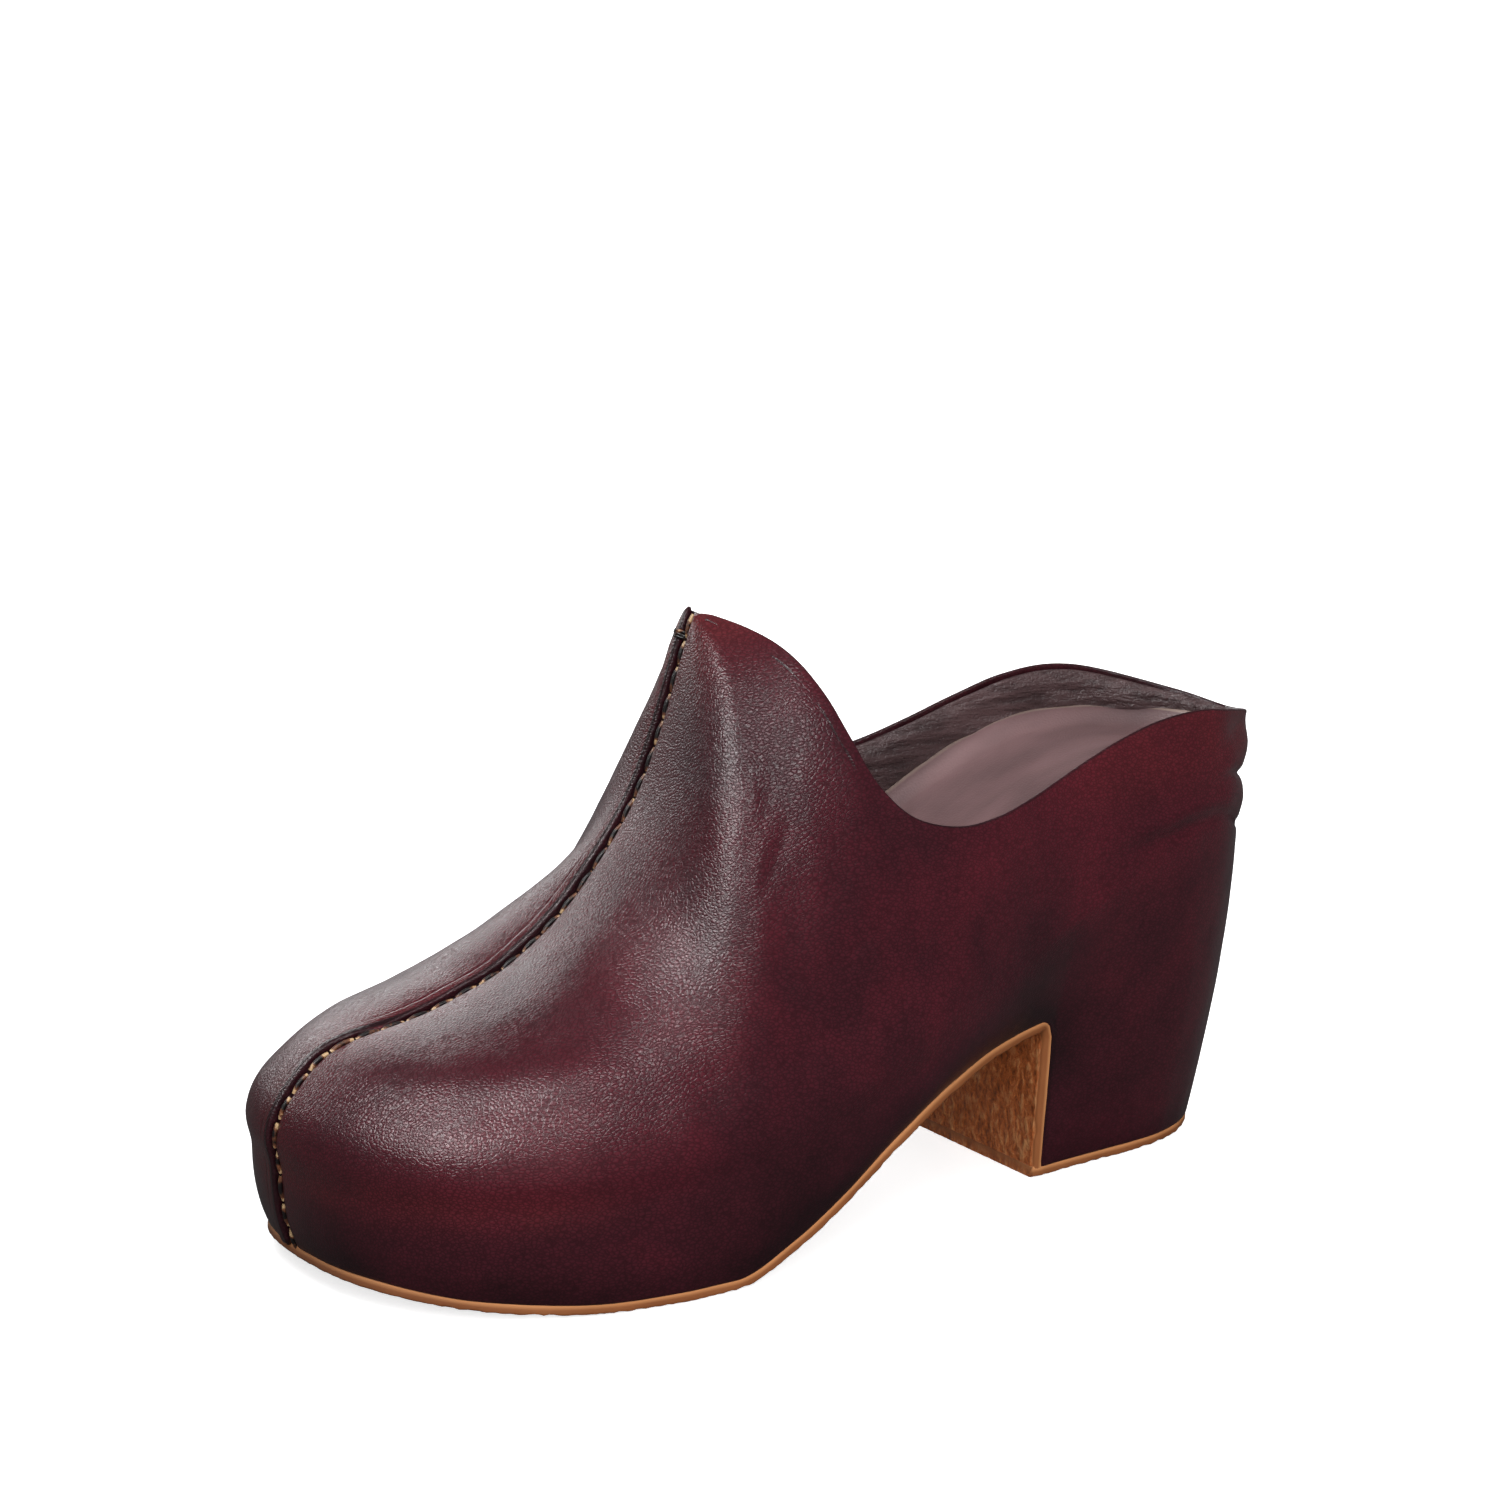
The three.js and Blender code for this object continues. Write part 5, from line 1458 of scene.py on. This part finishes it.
TARGET = np.array([0.0, 0.0, 65.0])  # what the camera is aimed at
AZIMUTH, ELEVATION, AWAY = 57.44, 15.16, 900.0
LENS, SENSOR = 97.65, 36.0
SHIFT = (-0.0173, 0.1041)
FLOOR_PALE = (0.95, 0.95, 0.95, 1.0)
FLOOR_BOUNCE = (0.1, 0.1, 0.1, 1.0)  # what the floor throws back at the clog
FLOOR_SIZE = 12  # in metres
FLOOR_GLOW = 0.75
WORLD_SEEN, WORLD_BOUNCE = 0.95, 0.1  # strength added where the world is seen, and strength everywhere
SUN_POWER, SUN_ANGLE = 1.9, math.radians(70)
LIGHTS_TARGET = (0.0, 0.0, 0.06)  # in metres
# Each light's name, place and size in metres, and power in watts.
SHINES = (
    ("overhead_strip", (0.1, -0.66, 0.82), (0.75, 0.12), 7),
    ("front_box", (0.35, -0.76, 0.7), (0.2, 0.2), 2),
    ("side_box", (0.6, -0.08, 0.85), (0.24, 0.24), 2.6),
    ("rim_strip", (-0.9, 0.0, 0.35), (0.9, 0.2), 3),
)
FILLS = (
    ("fill_box", (1.0, -0.35, 0.4), (1.0, 0.8), 11),
    ("back_fill_box", (-0.8, 0.8, 0.5), (1.0, 0.8), 9),
)


def aim(obj, target):
    """Points a light or a camera at a target."""
    obj.rotation_euler = (Vector(target) - obj.location).to_track_quat("-Z", "Y").to_euler()


def area_light(name, place, size, power):
    """A rectangular light aimed at the clog."""
    data = bpy.data.lights.new(name, "AREA")
    data.shape = "RECTANGLE"
    data.size, data.size_y = size
    data.energy = power
    obj = bpy.data.objects.new(name, data)
    obj.location = place
    bpy.context.scene.collection.objects.link(obj)
    aim(obj, LIGHTS_TARGET)
    return obj


def pale_floor():
    """Seamless studio paper: bright where it is seen, and throwing little light back."""
    bpy.ops.mesh.primitive_plane_add(size=FLOOR_SIZE)
    floor = bpy.context.object
    floor.name = "floor"
    material, tree, shader = new_material("pale_floor")
    seen = add_node(tree, "ShaderNodeLightPath", output="Is Camera Ray")
    pale = add_node(tree, MIX, {MIX_FACTOR: seen, MIX_A: FLOOR_BOUNCE, MIX_B: FLOOR_PALE}, MIX_RESULT,
                    data_type="RGBA")
    tree.links.new(pale, shader.inputs["Base Color"])
    shader.inputs["Roughness"].default_value = 0.9
    shader.inputs["Specular IOR Level"].default_value = 0.0
    shader.inputs["Emission Color"].default_value = FLOOR_PALE
    glow = add_node(tree, MATHS, {0: seen, 1: FLOOR_GLOW}, operation="MULTIPLY")
    tree.links.new(glow, shader.inputs["Emission Strength"])
    floor.data.materials.append(material)
    return floor


def studio_camera():
    """A long lens, a little above the clog and to its lateral front."""
    a, e = math.radians(AZIMUTH), math.radians(ELEVATION)
    away = np.array([math.sin(a) * math.cos(e), -math.cos(a) * math.cos(e), math.sin(e)])
    data = bpy.data.cameras.new("camera")
    data.lens, data.sensor_width = LENS, SENSOR
    data.shift_x, data.shift_y = SHIFT
    camera = bpy.data.objects.new("camera", data)
    camera.location = (TARGET - CENTRE + away * AWAY) * MM
    bpy.context.scene.collection.objects.link(camera)
    aim(camera, (TARGET - CENTRE) * MM)
    return camera


def studio_lights():
    """Lights that only shine, then lights that only fill and leave no shine."""
    shines = [area_light(name, place, size, power) for name, place, size, power in SHINES]
    fills = [area_light(name, place, size, power) for name, place, size, power in FILLS]
    sun = bpy.data.lights.new("sky_light", "SUN")
    sun.energy, sun.angle = SUN_POWER, SUN_ANGLE
    sky = bpy.data.objects.new("sky_light", sun)
    bpy.context.scene.collection.objects.link(sky)
    for light in shines:
        light.visible_diffuse = False
    for light in (*fills, sky):
        light.visible_glossy = False


def studio_world():
    """A plain white surround, bright where it is seen and dim as a light."""
    world = bpy.data.worlds.new("studio")
    world.use_nodes = True
    tree = world.node_tree
    background = tree.nodes["Background"]
    seen = add_node(tree, "ShaderNodeLightPath", output="Is Camera Ray")
    strength = add_node(tree, MATHS, {0: seen, 1: WORLD_SEEN, 2: WORLD_BOUNCE}, operation="MULTIPLY_ADD")
    tree.links.new(strength, background.inputs["Strength"])
    background.inputs["Color"].default_value = (1, 1, 1, 1)
    return world


class CLOG_OT_stage(bpy.types.Operator):
    """Makes the floor, the lights and the camera"""
    bl_idname = "clog.stage"
    bl_label = "Stage"

    def execute(self, context):
        pale_floor()
        context.scene.camera = studio_camera()
        studio_lights()
        context.scene.world = studio_world()
        context.scene.view_settings.view_transform = "Standard"
        return {"FINISHED"}


class CLOG_PT_panel(bpy.types.Panel):
    bl_label = "Clog"
    bl_space_type = "VIEW_3D"
    bl_region_type = "UI"
    bl_category = "Clog"

    def draw(self, context):
        for operator in OPERATORS:
            self.layout.operator(operator.bl_idname)
        for name in ClogSizes.__annotations__:
            self.layout.prop(context.scene.clog_sizes, name)
        for name in ClogColours.__annotations__:
            self.layout.prop(context.scene.clog_colours, name)


OPERATORS = (CLOG_OT_upper, CLOG_OT_linings, CLOG_OT_stiffeners, CLOG_OT_footbed, CLOG_OT_soles,
             CLOG_OT_thread, CLOG_OT_inside, CLOG_OT_stage)
CLASSES = (ClogSizes, ClogColours) + OPERATORS + (CLOG_PT_panel,)


def register():
    for cls in CLASSES:
        bpy.utils.register_class(cls)
    bpy.types.Scene.clog_sizes = PointerProperty(type=ClogSizes)
    bpy.types.Scene.clog_colours = PointerProperty(type=ClogColours)


def unregister():
    del bpy.types.Scene.clog_sizes
    del bpy.types.Scene.clog_colours
    for cls in reversed(CLASSES):
        bpy.utils.unregister_class(cls)


def main():
    register()
    for operator in OPERATORS:
        group, name = operator.bl_idname.split(".")
        getattr(getattr(bpy.ops, group), name)()
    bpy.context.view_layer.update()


if __name__ == "__main__":
    main()
